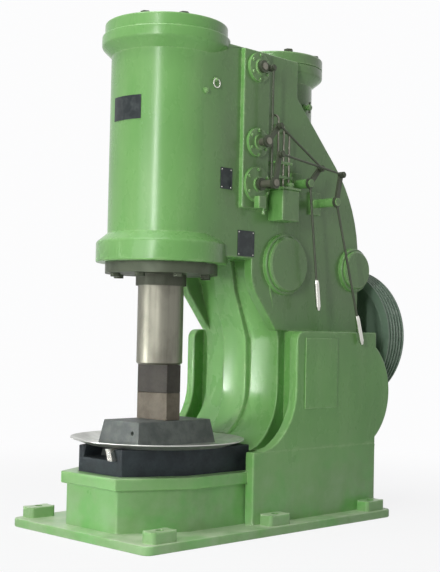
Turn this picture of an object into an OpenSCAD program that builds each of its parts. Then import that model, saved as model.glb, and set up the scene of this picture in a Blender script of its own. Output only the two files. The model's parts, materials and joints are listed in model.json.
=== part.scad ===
// Single-column air forging hammer.
// Millimetres, +Z up, +X to the operator's right, +Y to the rear.
// The origin lies on the floor at the centre of the base plate.
// Most modules are drawn about the ram axis and moved there by machine().

/* [Base] */
// Width of the base plate
base_w = 1018; // [980:1:1100]
// Length of the base plate
base_l = 1780; // [1740:1:1900]
// Thickness of the base plate
base_t = 44; // [30:1:70]
// Corner radius of the base plate
base_corner = 44; // [20:1:120]
// Distance of the ram axis ahead of the plate's centre
ram_offset = 383; // [370:1:400]
// Half pitch of the foundation bolts across the plate
bolt_x = 452; // [448:1:456]
// Half pitch of the foundation bolts along the plate
bolt_y = 765; // [700:1:790]
// Radius of the foundation bolt holes
bolt_hole_r = 20; // [12:1:26]
// Width of a foundation boss
boss_w = 84; // [70:1:88]
// Length of a foundation boss
boss_l = 150; // [100:1:180]
// Height of a foundation boss above the plate
boss_h = 52; // [20:1:90]

/* [Pedestal] */
// Half width of the pedestal's front side
ped_front_hw = 205; // [160:1:240]
// Half width of the pedestal at its side corners
ped_side_hw = 370; // [340:1:390]
// Reach of the pedestal ahead of the ram axis
ped_front = 440; // [420:1:460]
// Place of the side corners ahead of the ram axis
ped_corner = 100; // [60:1:160]
// Height of the pedestal's rim above the floor
ped_h = 300; // [270:1:330]
// Height of the rim band
rim_h = 58; // [30:1:80]
// Overhang of the rim past the pedestal wall
rim_over = 25; // [10:1:40]

/* [Anvil and dies] */
// Distance from the rim's edge to the anvil block
anvil_inset = 72; // [60:1:90]
// Running gap round the anvil in the pedestal
anvil_gap = 2; // [1:0.5:6]
// Height of the anvil's top above the floor
anvil_top = 425; // [400:1:460]
// Height of the sow block
sow_h = 120; // [90:1:150]
// Width of the sow block at its foot
sow_w = 300; // [280:1:340]
// Length of the sow block at its foot
sow_l = 520; // [460:1:540]
// Narrowing of the sow block on each side
sow_draft = 20; // [8:1:30]
// Width of the sow block's tongue at its foot
tongue_w = 216; // [160:1:230]
// Height of the sow block's tongue
tongue_h = 55; // [40:1:80]
// Undercut of the tongue on each side
tongue_cut = 18; // [8:1:24]
// Width of the sow key
sow_key_w = 34; // [24:1:44]
// Length of the sow key that stands out at the front
sow_key_out = 26; // [10:1:40]
// Length of the dies across the hammer
die_l = 220; // [180:1:230]
// Width of the dies from front to rear
die_w = 92; // [70:1:140]
// Height of the lower die
lower_die_h = 134; // [100:1:170]
// Height of the upper die
upper_die_h = 138; // [100:1:170]
// Length of a die's tenon
tenon_l = 120; // [80:1:140]
// Width of a die's tenon
tenon_w = 46; // [30:1:56]
// Height of a die's tenon
tenon_h = 36; // [20:1:50]
// Thickness of a die key
die_key_t = 14; // [8:1:20]
// Radius of the scale tray
tray_r = 432; // [410:1:450]
// Radius of the tray's flat floor
tray_floor_r = 352; // [330:1:380]
// Rise of the tray's lip
tray_rise = 26; // [10:1:50]
// Sheet thickness of the tray
tray_t = 5; // [3:0.5:8]

/* [Ram and work cylinder] */
// Radius of the ram
ram_r = 115; // [100:1:125]
// Radial running clearance of the ram in its guide
ram_clear = 0.05; // [0.02:0.01:0.1]
// Radial clearance of the pistons in their bores
piston_clear = 0.4; // [0.3:0.05:0.8]
// Outer radius of the work cylinder
cyl_r = 275; // [270:1:282]
// Bore radius of the work cylinder
bore_r = 190; // [180:1:200]
// Height of the cylinder's lower face
cyl_z = 1320; // [1300:1:1335]
// Height of the cylinder's upper face
cyl_top = 2456; // [2420:1:2500]
// Radius of the lower flange
low_flange_r = 330; // [310:1:340]
// Height of the lower flange
low_flange_h = 100; // [70:1:120]
// Radius of the upper flange
top_flange_r = 324; // [310:1:335]
// Height of the upper flange
top_flange_h = 56; // [40:1:80]
// Height of the cones between flanges and cylinder
flange_cone = 46; // [30:1:60]
// Radius of the work cylinder's cover
cover_r = 310; // [300:1:316]
// Height of the work cylinder's cover
cover_h = 62; // [40:1:80]
// Pitch radius of the cover bolts
cover_bolt_pitch = 246; // [236:1:252]
// Outer radius of the ram guide
guide_r = 150; // [140:1:160]
// Length of the ram guide in the cylinder
guide_h = 140; // [110:1:160]
// Radius of the guide's lower collar
collar_r = 127; // [124:1:132]
// Length of the guide's lower collar
collar_h = 56; // [40:1:80]
// Radius of the gland ring
gland_r = 282; // [270:1:295]
// Thickness of the gland ring
gland_t = 54; // [40:1:60]
// Pitch radius of the gland bolts
gland_bolt_pitch = 240; // [220:1:250]
// Gap between the guide and the piston at its lowest
piston_gap = 40; // [20:1:60]
// Height of the ram's piston
piston_h = 190; // [150:1:220]

/* [Column] */
// Height of the joint between column and base
seam_z = 395; // [370:1:400]
// Height of the lower cheeks' top ledge
ledge_z = 1000; // [985:1:1040]
// Half width of the lower cheeks
cheek_hw = 410; // [400:1:412]
// Thickness of the cheek plates
cheek_t = 56; // [40:1:70]
// Distance of the cheeks' front edge behind the ram axis
cheek_front = 580; // [560:1:590]
// Distance of the skirt's front edge behind the ram axis
skirt_front = 265; // [240:1:300]
// Distance of the column's rear face behind the ram axis
col_rear = 1240; // [1200:1:1255]
// Distance of the throat's upper edge behind the ram axis
throat_front = 371; // [350:1:390]
// Slant of the web from its ridge to the cheeks in degrees
web_slant = 9; // [4:0.5:12]
// Radius of the rear shoulder curve
rear_r = 720; // [640:1:760]
// Height where the rear shoulder curve starts
rear_arc_z = 1400; // [1380:1:1440]
// Radius of the rear drum bulge
drum_r = 312; // [290:1:320]
// Distance of the drum bulge behind the ram axis
drum_y = 1050; // [1030:1:1055]
// Height of the drum bulge's centre
drum_z = 674; // [655:1:684]
// Height of both round side bosses
cover_z = 1344; // [1330:1:1360]
// Distance of the front side cover behind the ram axis
front_cover_y = 612; // [590:1:640]
// Radius of the front side boss
front_boss_r = 160; // [140:1:170]
// Distance of the rear side cover behind the ram axis
rear_cover_y = 1186; // [1160:1:1200]
// Radius of the rear side boss
rear_boss_r = 122; // [100:1:130]
// Stand-out of the side bosses from the wall
side_boss_h = 24; // [10:1:40]
// Thickness of the side covers
side_cover_t = 20; // [10:1:30]
// Margin of the boss round its side cover
side_cover_margin = 16; // [8:1:24]

/* [Compressor] */
// Distance of the compressor cylinder behind the ram axis
comp_y = 825; // [815:1:835]
// Outer radius of the compressor cylinder
comp_r = 200; // [195:1:208]
// Bore radius of the compressor cylinder
comp_bore_r = 160; // [150:1:166]
// Radius of the compressor's flange and cover
comp_flange_r = 256; // [246:1:264]
// Height of the compressor flange's upper face
comp_top = 2440; // [2415:1:2450]
// Height of the compressor's flange
comp_flange_h = 50; // [36:1:60]
// Height of the compressor's cover
comp_cover_h = 58; // [40:1:70]
// Pitch radius of the compressor cover's bolts
comp_bolt_pitch = 214; // [204:1:220]
// Crank throw
crank_throw = 140; // [120:1:150]
// Length of the connecting rod between centres
rod_len = 880; // [850:1:900]
// Radius of the crank pin
crank_pin_r = 42; // [34:1:46]
// Radius of the wrist pin
wrist_pin_r = 28; // [22:1:32]
// Height of the compressor piston
comp_piston_h = 210; // [180:1:230]

/* [Crankshaft and flywheel] */
// Height of the crankshaft
crank_z = 980; // [970:1:990]
// Radius of the crank disc
crank_disc_r = 200; // [190:1:210]
// Radius of the crankshaft's journal
journal_r = 70; // [60:1:76]
// Radial running clearance of the crankshaft and pins
run_clear = 0.06; // [0.03:0.01:0.1]
// Outer radius of the crankshaft bearings
bearing_r = 105; // [96:1:112]
// Radius of the bearing hub on the rear face
hub_r = 130; // [124:1:133]
// Stand-out of the bearing hub from the rear face
hub_out = 70; // [67:1:76]
// Radius of the flywheel
wheel_r = 388; // [375:1:400]
// Width of the flywheel's rim
wheel_w = 140; // [100:1:170]
// Distance of the flywheel's front face behind the ram axis
wheel_y = 1384; // [1380:1:1400]
// Count of V grooves in the flywheel's rim
groove_count = 5; // [3:1:6]
// Depth of the V grooves
groove_depth = 18; // [10:1:22]
// Radius of the shaft's wheel seat
seat_r = 55; // [46:1:58]

/* [Valve gear] */
// Distance of the valves behind the ram axis
valve_y = 360; // [354:1:366]
// Height of the upper valve
upper_valve_z = 2335; // [2320:1:2345]
// Height of the middle valve
middle_valve_z = 1950; // [1940:1:1970]
// Height of the lower valve
lower_valve_z = 1735; // [1728:1:1750]
// Radius of the upper and middle valve flanges
valve_flange_r = 74; // [66:1:80]
// Radius of the lower valve flange
low_valve_flange_r = 90; // [80:1:94]
// Thickness of the valve flanges
valve_flange_t = 30; // [20:1:40]
// Radius of the valve rotors
rotor_r = 44; // [36:1:46]
// Length of the valve rotors
rotor_l = 150; // [110:1:170]
// Radius of the valve stems
stem_r = 18; // [14:1:20]
// Stand-out of the valve chest from the wall
chest_out = 26; // [16:1:32]
// Thickness of the valve arms and lever bars
arm_t = 14; // [10:1:16]
// Length of the arms that carry the tie rod
tie_arm = 54; // [52:1:64]
// Length of the arms of the middle valve's linkage
arm_a = 115; // [100:1:125]
// Slope of the arms of the middle valve's linkage in degrees
arm_a_slope = 48; // [44:1:52]
// Length of the arms of the lower valve's linkage
arm_b = 150; // [140:1:156]
// Slope of the arms of the lower valve's linkage in degrees
arm_b_slope = 78; // [74:1:80]
// Radius of the linkage studs
stud_r = 8; // [6:0.5:9]
// Radius of the linkage eyes
eye_r = 17; // [14:0.5:18]
// Radius of the push rods and the tie rod
rod_r = 6; // [4:0.5:6.5]
// Clearance of the rod eyes at the far studs
far_clear = 0.5; // [0.3:0.1:1]
// Distance of the first lever's pivot behind the ram axis
lever_a_y = 689; // [680:1:700]
// Height of the first lever's pivot
lever_a_z = 1772; // [1765:1:1785]
// Distance of the second lever's pivot behind the ram axis
lever_b_y = 845; // [836:1:855]
// Height of the second lever's pivot
lever_b_z = 1685; // [1675:1:1695]
// Radius of the lever pivots
pivot_r = 14; // [11:1:16]
// Length of the first lever below its pivot
lever_a_len = 668; // [600:1:690]
// Backward lean of the first lever in degrees
lever_a_lean = 7.4; // [4:0.2:10]
// Length of the second lever below its pivot
lever_b_len = 786; // [700:1:800]
// Backward lean of the second lever in degrees
lever_b_lean = 17.5; // [14:0.5:20]
// Length of the lever grips
grip_l = 160; // [120:1:200]
// Radius of the lever grips
grip_r = 13; // [11:0.5:15]

/* [Lubricator] */
// Front of the lubricator behind the ram axis
lube_y = 482; // [478:1:500]
// Length of the lubricator
lube_l = 128; // [100:1:134]
// Height of the lubricator's foot
lube_z = 1562; // [1550:1:1580]
// Height of the lubricator's case
lube_h = 160; // [130:1:170]
// Depth of the lubricator from the wall
lube_d = 104; // [80:1:110]
// Thickness of the lubricator's lid
lube_lid_t = 12; // [8:1:20]
// Radius of the oil pipes
pipe_r = 5; // [4:0.5:7]
// Height of the oil pipes above the lid
pipe_h = 350; // [250:1:380]
// Bend radius of the oil pipes
pipe_bend = 30; // [20:1:34]

/* [Hidden] */
$fn = 64;
PAINT = [0.45, 0.68, 0.38];
STEEL = [0.62, 0.6, 0.55];
DARK = [0.27, 0.28, 0.28];
BRIGHT = [0.86, 0.86, 0.83];
IRON = [0.22, 0.26, 0.26];
// Small play between bolts and their holes
play = 0.2;
// Depth by which cuts pass the faces they open
cut = 1;
// Play between sliding faces that must not touch
gap = 0.3;
// Outer wall of the column beside the cylinder, just inside its tangent
wall_hw = cyl_r - 1;
// Rear limit of the recess between the plates
web_back = cheek_front + 70;
// Ridge of the web behind the cheeks' front edge
ridge_y = cheek_front - 38;
// Radius of the flare from the cheeks to the skirt
flare_r = 315;
flare_z = seam_z + flare_r * 0.97;
// Radius of the rounded corner on the cheeks' ledge
ledge_r = 50;
slab_z = cyl_z + 40;
slab_set = 26;
comp_set = 10;
slab_top = min(cyl_top - slab_set, comp_top - comp_set);
slab_rear = comp_y - 125;
throat_r = 200;
throat_z = cyl_z - 20;
throat_turn = 35;
throat_plate_t = 58;
// Reach of the ridge ahead of the seat of the throat plates
ridge_set = 62;
boss_corner = 20;
// Rear of the pedestal inside the column's skirt
ped_reach = 160;
ped_rear = skirt_front + ped_reach;
lower_die_z = anvil_top + sow_h;
upper_die_z = lower_die_z + lower_die_h;
ram_z = upper_die_z + upper_die_h;
guide_top = cyl_z + guide_h;
gland_z = cyl_z - gland_t;
piston_z = guide_top + piston_gap;
ring_h = 14;
ring_depth = 12;
ring_play = 0.1;
bolt_r = 12;
bolt_head_r = 25;
bolt_head_h = 18;
bolt_depth = 60;
cover_bolts = 8;
gland_bolts_n = 8;
comp_bolts = 6;
spigot_h = 24;
tray_gap = 2;
hole_r = 11;
hole_depth = 60;
// Crank space inside the column
case_hw = crank_disc_r + 22;
case_front = comp_y - 110;
case_rear = comp_y + 150;
case_low = crank_z - crank_disc_r - 40;
case_head = 240;
case_high = crank_z + crank_disc_r + case_head;
disc_y = comp_y + 48;
disc_t = 74;
rod_half_t = 34;
big_eye_r = crank_pin_r + 26;
small_eye_r = wrist_pin_r + 22;
shank_hw = 32;
wrist_z = crank_z - crank_throw + rod_len;
comp_piston_z = wrist_z - comp_piston_h * 0.42;
skirt_wall = 26;
crown_t = 44;
bearing_l = 96;
bearing_front = disc_y + disc_t + 12;
hub_end = col_rear + hub_out;
cap_t = 22;
cap_gap = 0.4;
wheel_hub_r = seat_r + 52;
wheel_hub_front = hub_end + cap_t + 6;
wheel_rear = wheel_y + wheel_w;
wheel_rim_t = 52;
wheel_web_t = 34;
nut_r = 78;
nut_t = 34;
key_w = 26;
key_h = 12;
door_t = 6;
// Planes of the valve linkage, measured from the middle of the machine
chest_x = wall_hw + chest_out;
flange_x = chest_x + valve_flange_t;
flange_gap = 4;
rod_gap = 2;
plane_gap = 8;
lever_gap = 3;
tie_plane = flange_x + flange_gap + arm_t / 2;
tie_rod_plane = tie_plane + arm_t + rod_gap;
a_plane = tie_rod_plane + arm_t + plane_gap;
a_rod_plane = a_plane + arm_t + rod_gap;
b_plane = max(a_rod_plane + arm_t + plane_gap, cheek_hw + door_t + grip_r + lever_gap);
b_rod_plane = b_plane + arm_t + rod_gap;
head_t = 5;
chest_front = valve_y - 96;
chest_rear = valve_y + 96;
chest_low = lower_valve_z - low_valve_flange_r - 34;
chest_high = slab_top - 8;
rotor_gap = 0.4;
stem_gap = 0.06;
arm_hub_r = stem_r + 13;
a_arm_y = arm_a * cos(arm_a_slope);
a_arm_z = arm_a * sin(arm_a_slope);
b_arm_y = arm_b * cos(arm_b_slope);
b_arm_z = arm_b * sin(arm_b_slope);
bracket_w = 84;
bracket_h = 120;
bracket_t = 16;
bar_r = arm_t / 2 - 0.6;
lever_hub_r = pivot_r + 14;
bar_start = pivot_r + 8;
pipes = 3;
door_front = 640;
door_l = 260;
door_low = 600;
door_h = 365;

// Points on an arc about c from angle a0 to a1
function arc(c, r, a0, a1, n = 8) =
    [for (i = [0:n]) c + r * [cos(a0 + (a1 - a0) * i / n), sin(a0 + (a1 - a0) * i / n)]];

// Plan of the pedestal, moved inwards by d from the rim's edge
function pedestal_plan(d) =
    let (
        across = ped_side_hw - ped_front_hw,
        along = ped_front - ped_corner,
        slant = norm([across, along]),
        near = d * (slant - across) / along,
        far = (across - d + d * along / slant) * slant / across,
        front_x = ped_front_hw - d * along / slant + near * across / slant,
        corner_y = -ped_front + d * across / slant + far * along / slant
    )
    [
        [-front_x, -ped_front + d], [front_x, -ped_front + d], [ped_side_hw - d, corner_y],
        [ped_side_hw - d, ped_rear - d], [-ped_side_hw + d, ped_rear - d], [-ped_side_hw + d, corner_y]
    ];

// Moves a piece from the ram axis to the part's frame and colours it
module machine(c) {
    color(c) translate([0, -ram_offset, 0]) children();
}

// Extrudes a side view, drawn in Y and Z, from x0 to x1
module slab(points, x0, x1) {
    translate([x0, 0, 0]) rotate([90, 0, 90]) linear_extrude(height = x1 - x0) polygon(points);
}

// The same side view on both sides of the machine
module twin_slabs(points, x0, x1) {
    slab(points, x0, x1);
    slab(points, -x1, -x0);
}

module x_rod(r, x0, x1, y, z) {
    translate([x0, y, z]) rotate([0, 90, 0]) cylinder(r = r, h = x1 - x0);
}

module y_rod(r, y0, y1, z) {
    translate([0, y0, z]) rotate([-90, 0, 0]) cylinder(r = r, h = y1 - y0);
}

module z_rod(r, z0, z1, x = 0, y = 0) {
    translate([x, y, z0]) cylinder(r = r, h = z1 - z0);
}

module block(x0, x1, y0, y1, z0, z1) {
    translate([x0, y0, z0]) cube([x1 - x0, y1 - y0, z1 - z0]);
}

module round_rect(w, l, r) {
    square([w - 2 * r, l], center = true);
    square([w, l - 2 * r], center = true);
    for (x = [-1, 1], y = [-1, 1]) translate([x * (w / 2 - r), y * (l / 2 - r)]) circle(r = r);
}

// Hexagon bolts on a circle; the heads point up, or down when flipped
module bolt_ring(count, pitch, z, y, flip) {
    for (i = [0:count - 1]) {
        turn = (i + 0.5) * 360 / count;
        translate([pitch * cos(turn), y + pitch * sin(turn), z]) rotate([flip ? 180 : 0, 0, 0]) children();
    }
}

module hex_bolt(grip) {
    cylinder(r = bolt_head_r, h = bolt_head_h, $fn = 6);
    translate([0, 0, -grip]) cylinder(r = bolt_r, h = grip);
}

// Flat link between two points of the side view, centred on plane x
module link(x, from, to, hub, eye) {
    reach = norm(to - from);
    turn = atan2(to[1] - from[1], to[0] - from[0]);
    waist = eye * 0.8;
    translate([x - arm_t / 2, from[0], from[1]]) rotate([turn, 0, 0]) {
        rotate([0, 90, 0]) cylinder(r = hub, h = arm_t);
        translate([0, reach, 0]) rotate([0, 90, 0]) cylinder(r = eye, h = arm_t);
        translate([0, 0, -waist]) cube([arm_t, reach, 2 * waist]);
    }
}

// Stud on an arm that stands through the eye of a rod beside it
module stud(x, p) {
    x_rod(stud_r, x + arm_t / 2 - cut, x + arm_t * 1.5 + 2 + gap, p[0], p[1]);
    x_rod(stud_r + 4, x + arm_t * 1.5 + 2 + gap, x + arm_t * 1.5 + 2 + gap + head_t, p[0], p[1]);
}

// Rod with an eye at each end; the second eye has the wider bore
module rod_link(x, from, to) {
    reach = norm(to - from);
    turn = atan2(to[1] - from[1], to[0] - from[0]);
    difference() {
        translate([x, from[0], from[1]]) rotate([turn, 0, 0]) {
            translate([-arm_t / 2, 0, 0]) rotate([0, 90, 0]) cylinder(r = eye_r, h = arm_t);
            translate([-arm_t / 2, reach, 0]) rotate([0, 90, 0]) cylinder(r = eye_r, h = arm_t);
            rotate([-90, 0, 0]) cylinder(r = rod_r, h = reach);
        }
        x_rod(stud_r + run_clear, x - arm_t, x + arm_t, from[0], from[1]);
        x_rod(stud_r + far_clear, x - arm_t, x + arm_t, to[0], to[1]);
    }
}

// Base plate, bosses, pedestal and the foot of the column in one casting
module base_frame() {
    color(PAINT) difference() {
        union() {
            linear_extrude(height = base_t) round_rect(base_w, base_l, base_corner);
            for (x = [-1, 1], y = [-1, 0, 1]) translate([x * bolt_x, y * bolt_y, base_t - cut])
                linear_extrude(height = boss_h + cut) round_rect(boss_w, boss_l, boss_corner);
            translate([0, -ram_offset, 0]) pedestal_and_foot();
        }
        for (x = [-1, 1], y = [-1, 0, 1]) translate([x * bolt_x, y * bolt_y, -cut])
            cylinder(r = bolt_hole_r, h = base_t + boss_h + 2 * cut);
        translate([0, -ram_offset, base_t]) linear_extrude(height = ped_h)
            polygon(pedestal_plan(anvil_inset - anvil_gap));
    }
}

module pedestal_and_foot() {
    linear_extrude(height = ped_h) polygon(pedestal_plan(rim_over));
    translate([0, 0, ped_h - rim_h]) linear_extrude(height = rim_h) polygon(pedestal_plan(0));
    block(-cheek_hw, cheek_hw, ped_rear - rim_over - cut, col_rear, base_t - cut, seam_z);
    for (s = [-1, 1]) {
        inner = s > 0 ? cheek_hw - cheek_t : -cheek_hw;
        block(inner, inner + cheek_t, skirt_front, ped_rear, base_t - cut, seam_z);
    }
}

// C-frame casting with both cylinders, throat, cheeks, drum bulge and valve chest
module column_body() {
    machine(PAINT) difference() {
        union() {
            cylinder_shell();
            translate([0, comp_y, 0]) compressor_shell();
            slab(spine_points(), -wall_hw, wall_hw);
            block(-cheek_hw, cheek_hw, web_back, col_rear, seam_z, ledge_z);
            twin_slabs(cheek_points(), cheek_hw - cheek_t, cheek_hw);
            twin_slabs(throat_points(), wall_hw - throat_plate_t, wall_hw);
            for (s = [0, 1]) mirror([s, 0, 0]) rotate([0, 0, web_slant])
                slab(web_points(), -cut, cheek_hw - cheek_t + cut);
            intersection() {
                x_rod(drum_r, -cheek_hw, cheek_hw, drum_y, drum_z);
                block(-cheek_hw - cut, cheek_hw + cut, drum_y - drum_r, col_rear + drum_r, seam_z, ledge_z + drum_r);
            }
            x_rod(front_boss_r, -wall_hw - side_boss_h, wall_hw + side_boss_h, front_cover_y, cover_z);
            x_rod(rear_boss_r, -wall_hw - side_boss_h, wall_hw + side_boss_h, rear_cover_y, cover_z);
            block(wall_hw - cut, chest_x, chest_front, chest_rear, chest_low, chest_high);
            y_rod(hub_r, col_rear - 60, hub_end, crank_z);
        }
        cylinder_bores();
        crank_space();
        anvil_space();
        for (z = [upper_valve_z, middle_valve_z, lower_valve_z])
            x_rod(rotor_r + rotor_gap, chest_x - rotor_l, chest_x + cut, valve_y, z);
    }
}

function spine_points() =
    let (
        shoulder = arc([col_rear - rear_r, rear_arc_z], rear_r, 0, 45),
        end = shoulder[len(shoulder) - 1]
    )
    concat(
        [[0, slab_z], [web_back, slab_z], [web_back, seam_z], [col_rear, seam_z]],
        shoulder,
        [[slab_rear, end[1] + end[0] - slab_rear], [slab_rear, slab_top], [0, slab_top]]
    );

// Side view of a lower cheek: flare, straight edge and rounded ledge
function cheek_points() = concat(
    [[web_back + cut, seam_z]],
    arc([cheek_front - flare_r, flare_z], flare_r, -75.9, 0),
    arc([cheek_front + ledge_r, ledge_z - ledge_r], ledge_r, 180, 90, 6),
    [[web_back + cut, ledge_z]]
);

// Side view of an upper throat plate
function throat_points() =
    let (bend = arc([throat_front + throat_r, throat_z], throat_r, 180, 180 + throat_turn, 6))
    concat(
        [[web_back + cut, slab_z + cut], [throat_front, slab_z + cut]],
        bend,
        [[cheek_front - 20, ledge_z - cut], [web_back + cut, ledge_z - cut]]
    );

// Side view of the web between the plates, along its middle ridge
function web_points() = concat(
    [[web_back + 40, seam_z]],
    arc([ridge_y - flare_r, flare_z], flare_r, -75.9, 0),
    [[ridge_y, ledge_z - ledge_r], [throat_front + ridge_set + 26, throat_z - throat_r * 0.5]],
    [[throat_front + ridge_set, slab_z + cut], [web_back + 40, slab_z + cut]]
);

module cylinder_shell() {
    rotate_extrude() polygon([
        [0, cyl_z], [low_flange_r, cyl_z], [low_flange_r, cyl_z + low_flange_h],
        [cyl_r, cyl_z + low_flange_h + flange_cone], [cyl_r, cyl_top - top_flange_h - flange_cone],
        [top_flange_r, cyl_top - top_flange_h], [top_flange_r, cyl_top], [0, cyl_top]
    ]);
}

module compressor_shell() {
    foot = case_high - 40;
    rotate_extrude() polygon([
        [0, foot], [comp_r, foot], [comp_r, comp_top - comp_flange_h - flange_cone],
        [comp_flange_r, comp_top - comp_flange_h], [comp_flange_r, comp_top], [0, comp_top]
    ]);
}

module cylinder_bores() {
    z_rod(bore_r, guide_top, cyl_top + cut);
    z_rod(guide_r, cyl_z - cut, guide_top + cut);
    z_rod(comp_bore_r, case_high - cut, comp_top + cut, 0, comp_y);
    bolt_ring(cover_bolts, cover_bolt_pitch, cyl_top - bolt_depth, 0, false)
        cylinder(r = bolt_r + play, h = bolt_depth + cut);
    bolt_ring(gland_bolts_n, gland_bolt_pitch, cyl_z - cut, 0, false)
        cylinder(r = bolt_r + play, h = bolt_depth + cut);
    bolt_ring(comp_bolts, comp_bolt_pitch, comp_top - bolt_depth, comp_y, false)
        cylinder(r = bolt_r + play, h = bolt_depth + cut);
}

module crank_space() {
    block(-case_hw, case_hw, case_front, case_rear, case_low, case_high);
    y_rod(bearing_r, case_rear - cut, hub_end + cut, crank_z);
}

// Anvil block that stands in the pedestal, with the sow block's dovetail slot
// Room in the column for the anvil and for the rim of the tray
module anvil_space() {
    under = anvil_top - tray_gap;
    translate([0, 0, seam_z - cut]) linear_extrude(height = anvil_top - seam_z + cut)
        polygon(pedestal_plan(anvil_inset - anvil_gap));
    rotate_extrude() polygon([
        [0, under], [tray_floor_r + tray_gap, under], [tray_r + tray_gap, under + tray_rise],
        [tray_r + tray_gap, under + tray_rise + tray_t + 2 * tray_gap], [0, under + tray_rise + tray_t + 2 * tray_gap]
    ]);
}

module anvil_block() {
    machine(IRON) difference() {
        translate([0, 0, base_t]) linear_extrude(height = anvil_top - base_t) polygon(pedestal_plan(anvil_inset));
        dovetail(tongue_w + sow_key_w, -ped_front, ped_rear, 0);
    }
}

// Dovetail prism along Y that widens downwards from the anvil's top
module dovetail(w, y0, y1, shift) {
    half = w / 2;
    translate([shift, y1, 0]) rotate([90, 0, 0]) linear_extrude(height = y1 - y0) polygon([
        [-half, anvil_top - tongue_h], [half, anvil_top - tongue_h],
        [half - tongue_cut, anvil_top], [-half + tongue_cut, anvil_top]
    ]);
}

// Trapezoid block that carries the lower die
module sow_block() {
    machine([0.38, 0.38, 0.37]) difference() {
        union() {
            intersection() {
                slab([[-sow_l / 2, anvil_top], [sow_l / 2, anvil_top], [sow_l / 2 - sow_draft, lower_die_z],
                    [-sow_l / 2 + sow_draft, lower_die_z]], -sow_w, sow_w);
                translate([0, sow_l, 0]) rotate([90, 0, 0]) linear_extrude(height = 2 * sow_l) polygon([
                    [-sow_w / 2, anvil_top], [sow_w / 2, anvil_top], [sow_w / 2 - sow_draft, lower_die_z],
                    [-sow_w / 2 + sow_draft, lower_die_z]]);
            }
            dovetail(tongue_w, -sow_l / 2, sow_l / 2, -sow_key_w / 2);
        }
        tenon(lower_die_z, -1, die_key_t);
        translate([sow_w / 2 - 55, -sow_l / 2 - cut, lower_die_z - sow_h * 0.45]) rotate([-90, 0, 0])
            cylinder(r = hole_r, h = hole_depth);
    }
}

// Tenon of a die below (-1) or above (1) height z, widened along Y by the key
module tenon(z, side, extra) {
    block(-tenon_l / 2, tenon_l / 2, -tenon_w / 2, tenon_w / 2 + extra,
        side > 0 ? z : z - tenon_h, side > 0 ? z + tenon_h : z);
}

module die_key(z, side) {
    block(-tenon_l / 2, tenon_l / 2, tenon_w / 2, tenon_w / 2 + die_key_t,
        side > 0 ? z : z - tenon_h, side > 0 ? z + tenon_h : z);
}

// Wedge beside the tongue; its end stands out at the anvil's front
module sow_key() {
    right = (tongue_w + sow_key_w) / 2;
    left = right - sow_key_w;
    machine(BRIGHT) translate([0, sow_l / 2, 0]) rotate([90, 0, 0])
        linear_extrude(height = sow_l / 2 + ped_front - anvil_inset + sow_key_out) polygon([
            [left, anvil_top - tongue_h], [right, anvil_top - tongue_h],
            [right - tongue_cut, anvil_top], [left - tongue_cut, anvil_top]
        ]);
}

module lower_die() {
    machine([0.52, 0.47, 0.4]) {
        block(-die_l / 2, die_l / 2, -die_w / 2, die_w / 2, lower_die_z, upper_die_z);
        tenon(lower_die_z + cut, -1, 0);
    }
}

module lower_die_key() {
    machine(STEEL) die_key(lower_die_z, -1);
}

// Round sheet tray on the anvil, open round the sow block
module scale_tray() {
    machine([0.6, 0.61, 0.6]) difference() {
        translate([0, 0, anvil_top]) rotate_extrude() polygon([
            [0, 0], [tray_floor_r, 0], [tray_r, tray_rise], [tray_r, tray_rise + tray_t],
            [tray_floor_r, tray_t], [0, tray_t]
        ]);
        block(-sow_w / 2 - tray_gap, sow_w / 2 + tray_gap, -sow_l / 2 - tray_gap, sow_l / 2 + tray_gap,
            anvil_top - cut, anvil_top + tray_rise);
    }
}

module guide_bush() {
    machine([0.6, 0.5, 0.35]) rotate_extrude() polygon([
        [ram_r + ram_clear, gland_z - collar_h], [collar_r, gland_z - collar_h], [collar_r, cyl_z],
        [guide_r, cyl_z], [guide_r, guide_top], [ram_r + ram_clear, guide_top]
    ]);
}

module gland_ring() {
    machine(DARK) difference() {
        z_rod(gland_r, gland_z, cyl_z);
        z_rod(collar_r, gland_z - cut, cyl_z + cut);
        bolt_ring(gland_bolts_n, gland_bolt_pitch, gland_z - cut, 0, false)
            cylinder(r = bolt_r + play, h = gland_t + 2 * cut);
    }
}

module gland_bolts() {
    machine(DARK) bolt_ring(gland_bolts_n, gland_bolt_pitch, gland_z, 0, true)
        hex_bolt(gland_t + bolt_depth);
}

// Cover with a rounded edge and a spigot in the bore
module work_cover() {
    edge = 9;
    machine(PAINT) difference() {
        union() {
            rotate_extrude() polygon(concat(
                [[0, cyl_top], [cover_r, cyl_top]],
                arc([cover_r - edge, cyl_top + cover_h - edge], edge, 0, 90, 6),
                [[0, cyl_top + cover_h]]
            ));
            z_rod(bore_r - play, cyl_top - spigot_h, cyl_top + cut);
        }
        bolt_ring(cover_bolts, cover_bolt_pitch, cyl_top - cut, 0, false)
            cylinder(r = bolt_r + play, h = cover_h + 2 * cut);
    }
}

module work_cover_bolts() {
    machine(DARK) bolt_ring(cover_bolts, cover_bolt_pitch, cyl_top + cover_h, 0, false)
        hex_bolt(cover_h + bolt_depth);
}

module compressor_cover() {
    edge = 12;
    machine(PAINT) difference() {
        translate([0, comp_y, 0]) union() {
            rotate_extrude() polygon(concat(
                [[0, comp_top], [comp_flange_r, comp_top]],
                arc([comp_flange_r - edge, comp_top + comp_cover_h - edge], edge, 0, 90, 6),
                [[0, comp_top + comp_cover_h]]
            ));
            z_rod(comp_bore_r - play, comp_top - spigot_h, comp_top + cut);
        }
        bolt_ring(comp_bolts, comp_bolt_pitch, comp_top - cut, comp_y, false)
            cylinder(r = bolt_r + play, h = comp_cover_h + 2 * cut);
    }
}

module compressor_cover_bolts() {
    machine(DARK) bolt_ring(comp_bolts, comp_bolt_pitch, comp_top + comp_cover_h, comp_y, false)
        hex_bolt(comp_cover_h + bolt_depth);
}

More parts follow.
